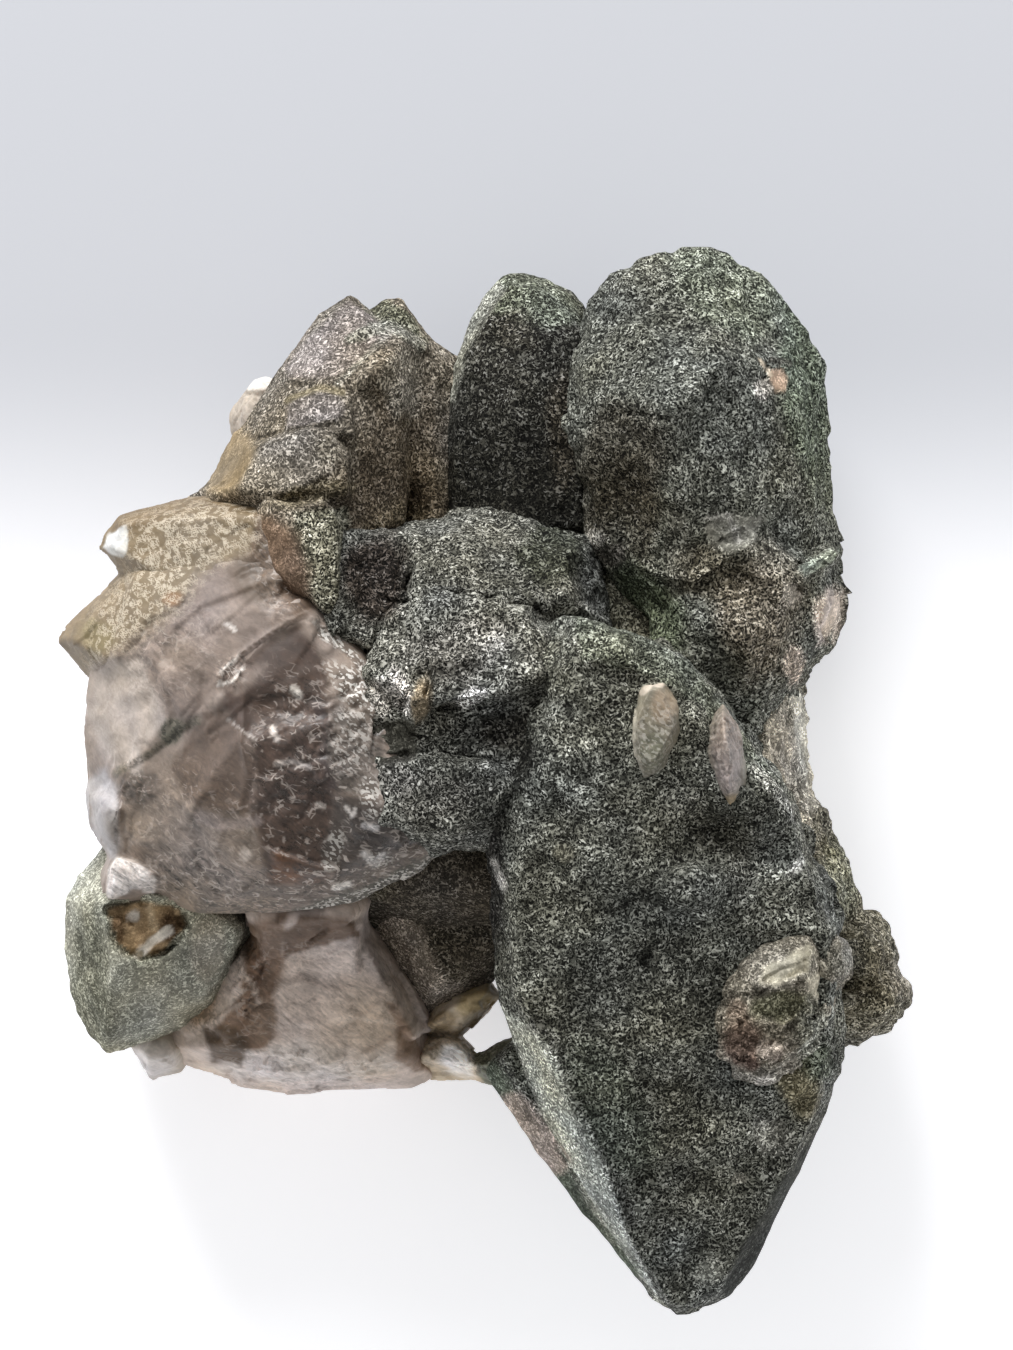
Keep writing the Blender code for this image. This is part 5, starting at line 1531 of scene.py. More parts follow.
painted(spire, (96, 89, 78, 0.8), [
    # The right side is painted darker and browner: partly brown crust and partly painted shade.
    ((92, 81, 65, 0.85), 0.9, patch, -7.6, 28.5, 3.2, 8, -5),
    ((64, 55, 43, 0.8), 0.85, patch, -8.6, 23.6, 5.4, 3.8),
    ((136, 129, 116, 0.8), 0.85, patch, -7, 34, 1.8, 3),
    ((76, 76, 60), 0.9, area, [
        (-11, 40.2), (-9, 41.3), (-6.4, 39.8), (-5.2, 37.6), (-7, 38.7), (-9.4, 39), (-11.4, 38.4),
    ]),
    # The lit face is painted lighter as painted light. The upper ledge is painted lighter grey, partly grey
    # crust and partly painted light on its top.
    ((106, 98, 91, 0.62), 1, area, LIT_FACE), ((110, 103, 97, 0.6), 1, area, UPPER_LEDGE),
    ((124, 116, 110, 0.5), 0.8, patch, -15.4, 36.2, 1.6, 2.4, -30),
    ((86, 79, 68, 0.8), 0.8, band, [(-16.6, 34), (-12.9, 33.9), (-10.4, 35.6)], 0.6),
    # The lower ledge: partly grey crust and partly painted light on its top.
    ((112, 106, 97, 0.65), 1, area, LOWER_LEDGE), ((84, 79, 69, 0.8), 0.8, patch, -13.6, 28, 1.2, 1.4),
    ((112, 110, 98, 0.9), 0.8, band, [(-11.8, 37.6), (-10.4, 38.4), (-8, 38.7), (-5.8, 37.2)], 0.6),
    ((126, 112, 90, 0.12), 0.95, patch, -22, 27.4, 2, 3.2, -25),
    ((98, 90, 70, 0.4), 0.8, band, [(-17, 32.4), (-14.4, 33.5), (-12.4, 33.1)], 0.34),
    # A painted shadow line under the first ledge.
    ((54, 48, 38, 0.8), 0.8, band, [(-19.5, 29.3), (-17, 29.9), (-13.2, 30.5)], 0.3),
    ((96, 94, 80), 1, area, FLANGE_FACE), ((94, 86, 68, 0.8), 0.85, patch, -15, 24.4, 3.6, 0.9, 14),
    # Painted shade, partly brown crust, low on the right side.
    ((84, 74, 56, 0.9), 0.8, patch, -7.5, 21.5, 3, 2.4),
    ((112, 108, 98, 0.8), 0.7, band, [(-8.2, 38.4), (-12.8, 33.8)], 0.3),
    ((104, 86, 71, 0.3), 1, area, [
        (-20, 22.4), (-18.2, 22.6), (-16.2, 20.8), (-15.3, 18.4), (-15, 13), (-20, 13),
    ], 0.9),
])
finish_piece(spire, chlorite)

# %% [markdown]
# ## The rear ridge and the beige lumps
#
# The ridge behind the great crystal is all knobs, so it gets the coarsest relief. The beige lumps are
# small facets in a tight knot: one body under them closes the gaps between them, and each facet is laid
# flat by its own outline.

# %% Rear ridge and lumps
ridge = grown_piece("rear_ridge", REAR_RIDGE, SKIN)
roughened(ridge, 47, wide=0.5, knob=0.6, tooth=0.2, neighbours=GREAT_CRYSTAL)
painted(ridge, (98, 94, 80, 0.9), [
    ((168, 160, 146, 0.4), 0.85, patch, 25.2, 2.5, 1.8, 3.4),
    ((196, 192, 180, 0.2), 0.8, band, [(26.4, 7), (26.9, 4), (27.4, 0.4), (27.6, -2)], 0.7),
    ((164, 156, 140, 0.6), 0.7, patch, 26.6, -2, 1.4, 3), ((110, 110, 88, 0.9), 0.6, patch, 30, -9, 2, 4),
    ((88, 82, 66, 0.9), 0.7, patch, 34, -17, 3, 3.4),
    ((140, 132, 116, 0.6), 0.6, patch, 35.4, -17, 0.9, 2, 20),
    ((70, 66, 52), 0.7, patch, 31.4, -14, 1.6, 2.4),
])
finish_piece(ridge, chlorite)

CLUSTER_BODY = dict(rim=[
    (19.9, -20.4, 30), (21.3, -17.6, 31), (24, -16, 31), (27.8, -15.6, 28), (28.9, -19, 26), (28.2, -23, 26),
    (25.5, -25.4, 27), (22, -24.9, 28), (20.2, -22.8, 29.6),
], face=[
    (22.6, -18.6, 35.5), (26, -17.4, 34.7), (27.2, -21, 33.2), (24, -23.9, 33.8), (21.7, -22.4, 34.6),
], back=25)
BEIGE_CAP = [(22.9, -16.7), (23.8, -15.4), (27.2, -13.5), (27.6, -14), (27.2, -15.9), (24.2, -17.3)]
LUMP_FACETS = [
    tilted(BEIGE_CAP, 0, 0.2),
    tilted([
        (22.3, -17.3), (23.7, -17.1), (26.5, -16.8), (27, -18.2), (25.1, -20.3), (22.3, -19.9),
    ], 0.1, 0.3),
    tilted([(27.7, -18), (29.4, -18.4), (29.6, -20.8), (27, -22.2), (25.6, -24.1), (25.1, -20.8)], -0.1, 0.1),
    tilted([(20.9, -18.4), (22.3, -19.9), (23.2, -22.2), (22, -24.1), (19.7, -22.2), (19.7, -20.3)], 0.3, 0),
    tilted([(22, -24.3), (23.7, -22.7), (25.8, -23.9), (24.6, -25.3), (22.7, -25.5)], 0, 0.3),
]
lump_names = ("cluster_cap", "cluster_middle", "cluster_foot", "round_lump")
beige_lumps = grown_piece("beige_lumps", {
    "cluster_body": CLUSTER_BODY, **{name: ON_GREAT_CRYSTAL[name] for name in lump_names},
}, 0.2, 8.0)
faced(beige_lumps, LUMP_FACETS, 0.7)
roughened(
    beige_lumps, 53, wide=0.12, knob=0.15, tooth=0.12, knob_size=1.6, neighbours=GREAT_CRYSTAL,
    features=[
        (mound, 21.4, -22.6, 1.1, 1.2, 0, -0.5), (splintered, 24.4, -20.6, 4.6, 4.6, 0, 2.2, 0.5),
        (splintered, 24, -22, 4, 3, 0, 1, 0.25),
    ],
)
painted(beige_lumps, (116, 111, 100, 0.6), [
    # The cap is painted pale beige: partly its own colour and partly painted light on its upper left facet.
    ((166, 160, 142, 0.1), 1, area, BEIGE_CAP), ((160, 154, 138, 0.2), 0.9, patch, 27.8, -17.2, 1, 1.2),
    ((102, 101, 80, 0.6), 0.9, patch, 24.8, -18.9, 2.6, 1.3, 10),
    ((122, 122, 110, 0.8), 0.9, patch, 27.6, -21.4, 1.6, 3),
    ((108, 90, 80, 0.4), 0.85, patch, 21.6, -22, 1.8, 2),
    ((84, 66, 58, 0.4), 0.8, patch, 22.4, -23.8, 0.8, 0.7),
    ((150, 140, 132, 0.4), 0.85, patch, 24, -22.6, 1.2, 1, 20),
    ((146, 140, 130, 0.5), 0.8, patch, 23.4, -25.2, 0.9, 0.6, 20),
    ((128, 112, 98, 0.4), 0.7, patch, 21, -19.6, 1, 1.4),
    ((112, 110, 100, 0.9), 0.7, patch, 29.5, -15, 1.4, 1.4),
])
finish_piece(beige_lumps, chlorite)

# %% [markdown]
# ## The lower-left crystal and the core
#
# The crystal at the lower left has a broken window in its crust. It could be cut out, but a sunk area
# with flat breaks in it keeps one closed skin. The core is the crusted mass seen dimly through the
# broken quartz, so it is coarse.

# %% Lower-left crystal and the core
WINDOW = [
    (-32.6, -10.6), (-29.6, -9.9), (-26.2, -10.6), (-25.4, -12.2), (-27.4, -14.6), (-29.8, -15.3),
    (-31.8, -13.8),
]
lower_left = grown_piece(
    "lower_left_crystal", {"lower_left_crystal": LOWER_LEFT["lower_left_crystal"]}, 0.27, 16.0,
)
roughened(lower_left, 59, wide=0.25, knob=0.14, tooth=0.1, features=[
    (crease, [(-32, -11), (-31.5, -16), (-32.5, -23)], 0.6, 0.4), (mound, -34, -18, 1.2, 4, 0, -0.4),
])
WINDOW_DEPTH = 1.5
points, normals = read_points(lower_left.data), read_normals(lower_left.data)
sunk = area(points, WINDOW, 0.35) * np.clip(normals[:, 2] * 2, 0, 1)
points[:, 2] -= sunk * (WINDOW_DEPTH + facets(points, (2.2, 1.2, 1.8), 30, 0.5, 0.4, 77))
write_points(lower_left.data, points)
painted(lower_left, (136, 135, 122, 0.36), [
    ((98, 99, 87, 0.5), 0.85, patch, -33.8, -17, 2, 6), ((146, 143, 130, 0.3), 0.6, patch, -26, -19, 4, 3),
    ((150, 142, 128, 0.2), 0.6, patch, -24, -14.6, 1.6, 3), ((146, 124, 96, 0.1), 1, area, WINDOW, 0.25),
    ((88, 68, 48, 0.3), 0.8, patch, -31.4, -12.6, 0.6, 1.4),
    ((70, 52, 36, 0.3), 0.85, patch, -27, -12.6, 1, 1.4, 20),
    ((214, 208, 200, 0), 0.95, band, [(-27.2, -12.6), (-28.6, -13.6), (-29.8, -14.8)], 0.42),
    ((226, 220, 214, 0), 0.95, patch, -30.1, -11.4, 0.5, 0.5),
    ((168, 150, 124, 0.1), 0.8, band, [(-28.8, -10.6), (-28.4, -12.4)], 0.35),
    ((104, 106, 94, 0.6), 0.8, band, WINDOW + WINDOW[:1], 0.3),
])
finish_piece(lower_left, chlorite)

core = grown_piece("broken_core", {"core": CORE, "right": CORE_LOBES["right_lobe_of_core"]}, 0.7, 8.0, 0.0)
roughened(core, 61, wide=0.5, knob=0.4, tooth=0)
painted(core, (66, 64, 52, 0.9), [
    ((120, 108, 92, 0.6), 0.7, patch, -22, 4, 9, 14), ((68, 62, 53, 0.7), 1, patch, -4, -9.5, 9, 5.5),
])
finish_piece(core, chlorite)

# %% [markdown]
# ## Fractures
#
# Quartz breaks like thick glass: in shallow faces that meet in sharp crests, with steps where one
# break ran into another. The large faces and the steps are laid out as the photo shows them. Between
# them the skin gets small flat breaks of several sizes, each with its own slope and depth.

# %% Broken pieces
def fractured(piece, seed, scales, features=(), neighbours=None, fill=CORNER_HEIGHT):
    """Breaks a piece into flat breaks of several scales, then adds the named features.

    Each scale is a cell's length, its tilt and its drop; a cell is 0.55 as wide as it is long.
    """
    points, normals = corners_filled(piece, neighbours, fill)
    bent = points + noise(points, 4.0, seed)[:, None] * np.array([0.7, -0.6, 0.4])
    height = np.zeros(len(points))
    for index, (size, tilt, drop) in enumerate(scales):
        sizes = (size, size * 0.55, size * 0.8)
        height += facets(bent, sizes, 35 - 50 * index, tilt, drop, seed + 20 * index)
    raised(piece, points, normals, height, features)


def marked(piece, marks):
    """Stores where hackles, lace, dust and sugar lie, in the four channels of one attribute."""
    points = read_points(piece.data)
    amounts = np.zeros((len(points), 4))
    for channel, strength, shape, *values in marks:
        amounts[:, channel] = np.maximum(amounts[:, channel], shape(points, *values) * strength)
    stored(piece, "marks", amounts)


print("a flat break at a point:", facets(np.array([[1.0, 2, 3]]), (3, 2, 2), 35, 0.1, 0.1).round(3))

# %% [markdown]
# ## Where the left side is broken
#
# The broken quartz and the golden arms share their faces, steps, colours and marks. They could be given
# piece by piece, but a stain or a step that runs over both then has to be kept alike twice, so they are
# listed once, as outlines and lines with what each does to the surface.

# %% Large breaks of the left side
HACKLE, LACE, DUST, SUGAR = 0, 1, 2, 3
LONG_STEP = [(-12.4, 11.8), (-15.4, 14.2), (-18.7, 12.4), (-21.1, 10.7), (-22.7, 9), (-22.8, 7.2)]
SHORT_STEP = [(-19.4, 7.6), (-21.6, 5.8), (-24.2, 3.9)]
GREEN_STEP = [(-24.6, 5.2), (-26.5, 4.2), (-28.4, 2.6), (-31.6, 0.8)]
LOBE_STEP = [(-30.8, 0.6), (-31.3, -1), (-31.6, -5.2)]
LOWER_EDGE = [(-16, -11.2), (-10.5, -9.6), (-5, -7.1), (-0.6, -4.4)]
WHITE_BREAK = [
    (-33.7, 10.1), (-29.3, 10.7), (-27.3, 8.6), (-26.9, 5.1), (-29.3, 2.5), (-31.6, 1), (-33.4, 3.1),
    (-34.4, 5.7),
]
BRIGHT_FACET = [
    (-31.4, -6.4), (-29.7, -7), (-27.9, -8.2), (-28.5, -9.4), (-30, -9.1), (-32.6, -10.2), (-32, -6.7),
]
LARGE_BREAKS = [
    tilted(WHITE_BREAK, 0, 0),
    tilted([
        (-29.3, 10.7), (-24.3, 14.8), (-18.6, 17), (-15.4, 14.8), (-18.7, 12.7), (-21.1, 11), (-23, 9),
        (-26, 5.7), (-27.5, 8.6),
    ], 0.02, -0.03, 0.15),
    tilted([(-25.5, 5.1), (-21.9, 8), (-20.5, 1), (-21, -2.5), (-25.7, -1.9), (-29.3, 2.2)], 0.05, 0.04),
    tilted([
        (-22, 8.4), (-18.6, 11.9), (-15.4, 13.6), (-14, 8), (-13.4, 2.2), (-18.7, 0.4), (-20.5, 1),
    ], -0.04, 0.04, -0.2),
    tilted([(-31, 0.4), (-25.7, -1.9), (-24.6, -7.2), (-29.3, -9.6), (-31, -6)], 0, -0.04, 0.1),
    tilted([(-25.7, -1.9), (-20.5, -2.5), (-17.5, -7.2), (-22.2, -10.7), (-24.6, -7.2)], 0.04, 0, 0.2),
    tilted([(-20.5, -2.5), (-14.6, 1), (-11.6, -3.7), (-12.8, -8.4), (-17.5, -7.2)], 0, -0.04),
    tilted([(-13, 7.6), (-8.6, 4.6), (-8.9, -1.6), (-12.6, -0.6), (-13.4, 2.2)], 0.05, 0, -0.1),
    tilted([(-11, -2.8), (-5.6, -3), (-4.8, -5.4), (-10.6, -6.2)], 0, 0.06, -0.3),
]
GOLD_EDGE = [
    (-34, 10.2), (-31, 11.4), (-27.8, 13.7), (-26.1, 15), (-25.2, 16.7), (-23.2, 18.6), (-19.4, 20.6),
]
LEFT_ZONES = [
    ((165, 155, 149, 0.98), 1, area, WHITE_BREAK, 0.7),
    ((125, 111, 102, 0.95), 0.95, area, [
        (-29.3, 10.7), (-26.1, 15), (-23.2, 18.6), (-19, 19.5), (-15.9, 13.6), (-22.4, 9.4), (-24.5, 6),
        (-27, 5),
    ], 0.6),
    ((140, 126, 117, 0.95), 0.6, band, [(-28, 9), (-24.6, 12.4), (-20, 15.6)], 0.9),
    ((76, 60, 51, 0.85), 1, area, [
        (-15.9, 13.4), (-22.2, 9.2), (-22.6, 6.4), (-19.6, 2.4), (-19.8, -3), (-18.6, -8.6), (-13.4, -9),
        (-12.8, -0.4), (-13.6, 4.8), (-13.4, 9.4),
    ], 0.5),
    ((96, 81, 71, 0.9), 0.95, area, [
        (-24, 5.8), (-22.4, 6.6), (-19.6, 2.4), (-19.8, -3), (-24.6, -2.4), (-27, 1.4),
    ], 0.4),
    ((80, 63, 54, 0.8), 0.8, patch, -16, -5.6, 3.4, 4.4, 10),
    ((128, 114, 105, 0.9), 0.8, patch, -20.6, 9, 1.8, 1.2, 30),
    ((127, 115, 106, 0.92), 0.9, area, [
        (-30.4, -1), (-24.6, -2.4), (-19.8, -3), (-19, -8), (-20, -11.5), (-29, -11),
    ], 0.6),
    ((100, 91, 84, 0.85), 0.95, area, [
        (-13.6, 4.8), (-12.6, 6.6), (-8.6, 4.8), (-9.4, -1.4), (-12.8, -0.4), (-14, 2),
    ], 0.3),
    ((72, 63, 58, 0.8), 0.95, area, [
        (-12.8, -0.8), (-9.2, -1.6), (-6, -3.4), (-5, -7), (-12.8, -9.6), (-14, -6),
    ], 0.4),
    ((127, 112, 90, 0.9), 1, area, GOLD_EDGE + [(-17, 24), (-26, 28), (-38, 24), (-38, 9.8)], 1.1),
    ((108, 91, 66, 0.85), 0.85, band, [(-31.4, 22.4), (-25.6, 23.8), (-19.4, 24)], 1.3),
    ((208, 208, 207), 1, area, [
        (-33, 19.9), (-32.2, 21.2), (-30.8, 21.8), (-30.5, 20.5), (-31.1, 19.2),
    ], 0.15),
    ((134, 121, 88, 0.85), 0.9, patch, -33.4, 12.3, 1.8, 1.5),
    ((136, 98, 62, 0.9), 0.85, patch, -26.7, 15.6, 0.9, 0.7),
    ((100, 82, 68, 0.85), 0.95, area, [
        (-19.6, 23), (-17.6, 23.4), (-15.2, 20), (-14.8, 14.6), (-16.4, 13.8), (-18, 16.5), (-20.4, 18.5),
    ], 0.4),
    ((92, 78, 66, 0.95), 0.85, patch, -19.4, 17.4, 2.4, 2.2, 30),
    ((94, 62, 38, 0.9), 0.85, patch, -17.2, -7.4, 1.3, 1.6, 30),
    ((98, 87, 78, 0.92), 0.8, band, [(-20, -9.4), (-14, -9.6), (-9, -7.6), (-6, -6)], 1),
    ((88, 78, 72, 0.8), 0.7, patch, -29.6, -0.4, 1.5, 1.5),
    ((168, 164, 165, 0.98), 0.95, area, [
        (-35, -0.4), (-32.6, 1.2), (-31.3, -0.5), (-31.5, -7.2), (-33.4, -5), (-35, -3),
    ], 0.4),
    ((208, 200, 195), 1, area, BRIGHT_FACET, 0.2), ((104, 98, 84, 0.95), 0.7, band, GREEN_STEP, 0.4),
    ((96, 96, 80, 0.95), 0.7, patch, -26.6, 4.2, 1.1, 1.1),
    ((152, 140, 138, 0.9), 0.6, band, [(-24.4, -2.8), (-22.4, -3.6), (-19.6, -3.2)], 0.6),
    # A thin painted shadow under the long step.
    ((84, 70, 62, 0.95), 0.8, band, LONG_STEP[1:5], 0.14),
    ((190, 182, 174), 0.8, band, [(-12.2, 11.2), (-14, 12.8), (-15.2, 14)], 0.14),
    ((206, 200, 194), 0.8, band, [(-21, 10.6), (-22.4, 9.6), (-22.8, 8.2), (-21.6, 8.6), (-20.6, 9.8)], 0.16),
    ((180, 172, 164), 0.6, band, [(-22, 5.4), (-19.6, 3.6)], 0.12),
    ((86, 72, 65, 0.9), 0.7, band, [(-19.5, 2.6), (-20, -0.2), (-19.8, -3)], 0.2),
    ((74, 62, 58, 0.9), 0.75, band, [(-14.6, 7), (-13.5, 4.8), (-13.9, 2), (-13.1, -0.2)], 0.45),
    ((92, 82, 78, 0.9), 0.6, band, LOBE_STEP, 0.2), ((188, 178, 172, 0.98), 0.8, patch, -30, 2, 0.9, 1.2),
    # White flecks: partly white splinters and partly painted glints.
    ((186, 175, 166), 0.75, band, [(-17.8, 1.6), (-16.4, 1.8), (-15, 1.3)], 0.26),
    ((196, 186, 178), 0.8, band, [(-18.2, 4.6), (-17.8, 3.6)], 0.3),
    ((204, 198, 192), 0.85, band, [(-16.4, 8), (-15.9, 7.4)], 0.4),
    ((206, 199, 193), 0.8, band, [(-22.2, 13.5), (-21.4, 12.9)], 0.25),
    ((212, 206, 202), 0.9, band, [(-12, -2), (-11.4, -2.8), (-11.2, -2.2)], 0.25),
    ((220, 214, 210), 0.9, band, [(-10.4, -3.6), (-9.4, -3.9)], 0.3),
    ((208, 202, 198), 0.9, band, [(-10.4, -6), (-9.6, -6.9), (-8.9, -6.2)], 0.35),
    ((220, 214, 208), 0.9, band, [(-13, -8.9), (-11.8, -8.6)], 0.3),
    ((176, 168, 160), 0.8, band, [(-14.4, -1.8), (-13.9, -2)], 0.3),
    ((180, 170, 164), 0.7, patch, -20.6, -6.2, 0.6, 0.5), ((102, 100, 90), 0.9, band, LOWER_EDGE, 0.8),
]
LEFT_MARKS = [
    (HACKLE, 0.8, patch, -16, 1, 4.6, 9), (HACKLE, 0.9, patch, -11.6, 3, 3, 4),
    (HACKLE, 0.4, patch, -24, -4, 7, 6), (HACKLE, 1, patch, -21.4, 9.6, 1.8, 1.2, 30),
    (HACKLE, 1, patch, -9.5, -5, 3.4, 3), (HACKLE, 0.3, patch, -27, 11, 5, 4, 30),
    (HACKLE, 0.6, patch, -28.5, 12, 3, 1.2, 20), (HACKLE, 0.8, patch, -17, 18, 3, 4),
    (HACKLE, 0.6, patch, -29.6, -0.6, 1.6, 1.6),
    (HACKLE, 1, band, [(-27, -7.4), (-20, -8.8), (-12, -8.2), (-6, -5.6)], 2.6),
    (LACE, 1, area, GOLD_EDGE + [(-19, 23.6), (-25.4, 23.6), (-30.6, 22), (-30.6, 18), (-33, 14.6)], 1.4),
    (HACKLE, 0.8, area, BRIGHT_FACET, 0.2), (DUST, 0.5, band, GREEN_STEP, 0.5),
    (DUST, 0.8, patch, -26.6, 4.2, 1.1, 1.1), (DUST, 0.5, patch, -29.6, -0.6, 1.5, 1.4),
    (DUST, 0.7, patch, -13.4, 14, 1.2, 2), (DUST, 0.6, band, [(-24, -11), (-19, -10.9)] + LOWER_EDGE, 1),
    (SUGAR, 1, patch, -10.4, 7.4, 3.4, 1.6, -30),
    (SUGAR, 0.9, band, [(-14, 12.8), (-11.6, 11), (-9, 8)], 0.5), (SUGAR, 0.7, patch, -9.9, -1.2, 0.9, 2, 10),
    (SUGAR, 0.6, patch, -13, -5.6, 0.8, 2.4, -20), (SUGAR, 0.8, band, LOWER_EDGE, 0.6),
    (SUGAR, 0.4, patch, -11.6, 3.4, 1.8, 2.6), (SUGAR, 0.6, patch, -9.2, -6.4, 1, 0.8),
]

print(len(LARGE_BREAKS), "large breaks,", len(LEFT_ZONES), "zones and", len(LEFT_MARKS), "marks on the left")

# %% [markdown]
# ## The broken quartz and the golden arms
#
# Three large breaks of clear smoky quartz lie side by side, with two amber arms behind them. A body
# joins the breaks and a web joins them to the arms, so that light passes through one piece and meets no
# walls inside it.

# %% Broken quartz and golden arms
# One body fills the notches between the three breaks; a web joins them to the golden arms.
BODY_DROP = 0.6
BODY_PARTS = [BROKEN_QUARTZ[name] for name in ("break_top", "break_centre", "break_left")]
BROKEN_BODY = dict(
    rim=[corner for part in BODY_PARTS for corner in part["rim"]],
    face=[(x, y, z - BODY_DROP) for part in BODY_PARTS for x, y, z in part["face"]], back=17, draw_in=PLAIN,
)
ARM_WEB = dict(rim=[
    (-31, 18.2, 21.5), (-34, 9.4, 21), (-30, 7, 24), (-24, 7, 28), (-16, 14, 29), (-16, 19, 29),
    (-20, 20.6, 26), (-26, 20, 24),
], face=[
    (-29.8, 17.6, 26), (-32, 10.6, 26.4), (-28, 8.4, 30), (-24.4, 10, 32.4), (-20, 14.6, 33),
    (-17.6, 17.2, 32.4), (-21, 19, 30.5), (-25.6, 18.4, 28.1), (-26, 13, 30.4),
], back=18, draw_in=PLAIN)
broken = grown_piece("broken_quartz", {
    **BROKEN_QUARTZ, "body": BROKEN_BODY, "arm_web": ARM_WEB,
    "left_lobe_of_core": CORE_LOBES["left_lobe_of_core"],
}, 0.27, 16.0, 0.08, 25)
faced(broken, LARGE_BREAKS, 0.3)
faced(broken, [tilted(BRIGHT_FACET, 0.1, 0.2)], 0.4)
fractured(broken, 5, [(7, 0.04, 0.06), (2.6, 0.04, 0.025)], [
    (ledge, LONG_STEP[::-1], 0.4, 2.5), (ledge, SHORT_STEP[::-1], 0.2, 2), (ledge, GREEN_STEP[::-1], 0.3, 2),
    (ledge, LOBE_STEP, 0.5, 2), (splintered, -15.5, 1, 4, 8, 0, 1.8, 0.14),
    (splintered, -21, 9, 1.6, 1.2, 30, 1.3, 0.16), (splintered, -12, 5.5, 3, 4, 0, 1.5, 0.16),
    (splintered, -29.6, -0.4, 1.6, 1.6, 0, 1, 0.16), (splintered, -23, 4.6, 2, 0.9, 35, 1.2, 0.14),
    (splintered, -17, 17, 3, 2.6, 20, 1.6, 0.12),
    (crease, [(-20, 0), (-20.6, -2.4), (-20, -4.5)], 0.25, -0.25),
], {**MIDDLE_BLOCK, "flange": SPIRE["flange"]}, 0.8)
painted(broken, (142, 128, 118, 0.85), LEFT_ZONES + [((134, 120, 110, 0.85), 0.85, sides, 2.5, 5)])
marked(broken, LEFT_MARKS)
finish_piece(broken, smoky)

arms = grown_piece("golden_arms", ARMS, 0.2, 30.0, 0.03)

# The lower arm dips where it runs in under the broken quartz.
ARM_DIP = 1.6
points = read_points(arms.data)
inward = soft_step(points[:, 0] + points[:, 1], -13.0, -9.5)
points[:, 2] -= ARM_DIP * inward * (1 - soft_step(points[:, 1], 15.0, 18.0))
write_points(arms.data, points)
fractured(arms, 15, [(5, 0.05, 0.05), (1.7, 0.05, 0.02)], [
    (crease, [(-31.4, 21.8), (-25, 23.2), (-19, 23.4)], 0.3, 0.15),
    (splintered, -17.5, 18, 3, 3.6, 20, 1.6, 0.12),
])
painted(arms, (132, 117, 94, 0.9), LEFT_ZONES + [((122, 107, 86, 0.9), 0.9, sides, 2.5, 5)])
marked(arms, LEFT_MARKS)
finish_piece(arms, amber)

# %% [markdown]
# ## The bottom plate
#
# The plate is milky quartz with a long splintery lower edge. Two slopes close it against the quartz
# above it and the dark crystal beside it. It is nearly flat, and its stains are what shows, so it is
# mostly painted.

# %% Bottom plate
PLATE_TOP = dict(rim=[
    (-21, -13, 14), (-19.4, -10.6, 22), (-11, -10.4, 22.6), (-9.6, -13, 15), (-9.4, -16.4, 13),
    (-20.6, -17, 13),
], face=[
    (-18.6, -11.8, 24), (-12.2, -11.4, 24.6), (-11.6, -13.8, 22.4), (-18, -14, 22.2), (-19.4, -16, 20.2),
    (-11, -16.4, 20.6),
], back=9)
PLATE_RIGHT = dict(rim=[
    (-9.8, -12, 14), (-8.2, -15.4, 14), (-6, -18.4, 14), (-4.4, -21, 12.5), (-8, -22, 12), (-13, -14, 13),
], face=[
    (-11.4, -12.8, 20.6), (-9.7, -15.6, 20), (-8, -18.6, 19), (-6.3, -21.8, 17), (-9, -20, 18.6),
    (-12, -15, 20.2),
], back=8)
plate = grown_piece("bottom_plate", {
    "bottom_plate": LOWER_LEFT["bottom_plate"], "top": PLATE_TOP, "right": PLATE_RIGHT,
}, 0.28, 16.0)
fractured(plate, 6, [(6, 0.08, 0.12), (2.4, 0.06, 0.03)], [
    (ledge, [(-21, -21), (-19.5, -15.5), (-15.5, -14)], 0.7, 2),
    (splintered, -15, -24.5, 9, 1.6, 0, 1.4, 0.25), (splintered, -20, -17, 2, 4, 0, 1.4, 0.25),
], {"above": BROKEN_QUARTZ["break_centre"]}, 1.6)
painted(plate, (198, 182, 172, 0.97), [
    ((206, 197, 191, 0.98), 0.8, patch, -15.5, -24, 7, 1.8),
    ((206, 190, 180, 0.97), 0.7, patch, -12.5, -19, 4, 4.4),
    ((124, 100, 82, 0.95), 1, area, [
        (-20.6, -12), (-17, -11), (-17.4, -15.6), (-18.2, -18.4), (-18, -22), (-20, -23), (-24, -22.4),
        (-21, -18),
    ], 0.4),
    ((106, 84, 68, 0.95), 1, area, [
        (-17.8, -13.2), (-16, -11.4), (-11.6, -11.4), (-11, -13), (-13.6, -13.9), (-15, -14.2), (-17.4, -15),
    ], 0.25),
    ((106, 81, 63, 0.95), 0.9, area, [
        (-20.8, -14.4), (-19.2, -14.2), (-18.4, -15.6), (-19.2, -17.6), (-20.4, -16.6),
    ], 0.25),
    ((134, 112, 94, 0.95), 0.95, area, [
        (-20.4, -18.6), (-18.6, -18.4), (-18, -20.4), (-18.6, -22.4), (-19.8, -22.2), (-20.6, -20.6),
    ], 0.25),
    ((84, 64, 44, 0.95), 1, area, [
        (-24.4, -21), (-21.4, -20.8), (-20.4, -22.6), (-21.2, -24.2), (-23.6, -24.1),
    ], 0.3),
    ((142, 118, 100, 0.95), 0.95, area, [
        (-9, -18.6), (-7.8, -18.8), (-6.4, -21.6), (-4.8, -24.4), (-6.2, -25), (-7.8, -23.6), (-7.9, -21),
    ], 0.25),
    ((206, 190, 178, 0.95), 0.7, band, [(-21.4, -15.8), (-20, -17.4), (-19.6, -18.8)], 0.25),
    ((200, 184, 172, 0.95), 0.7, band, [(-22.4, -19), (-20.8, -17.8)], 0.25),
    ((150, 120, 88, 0.95), 0.7, patch, -24.6, -18.6, 1.2, 2, -10),
])
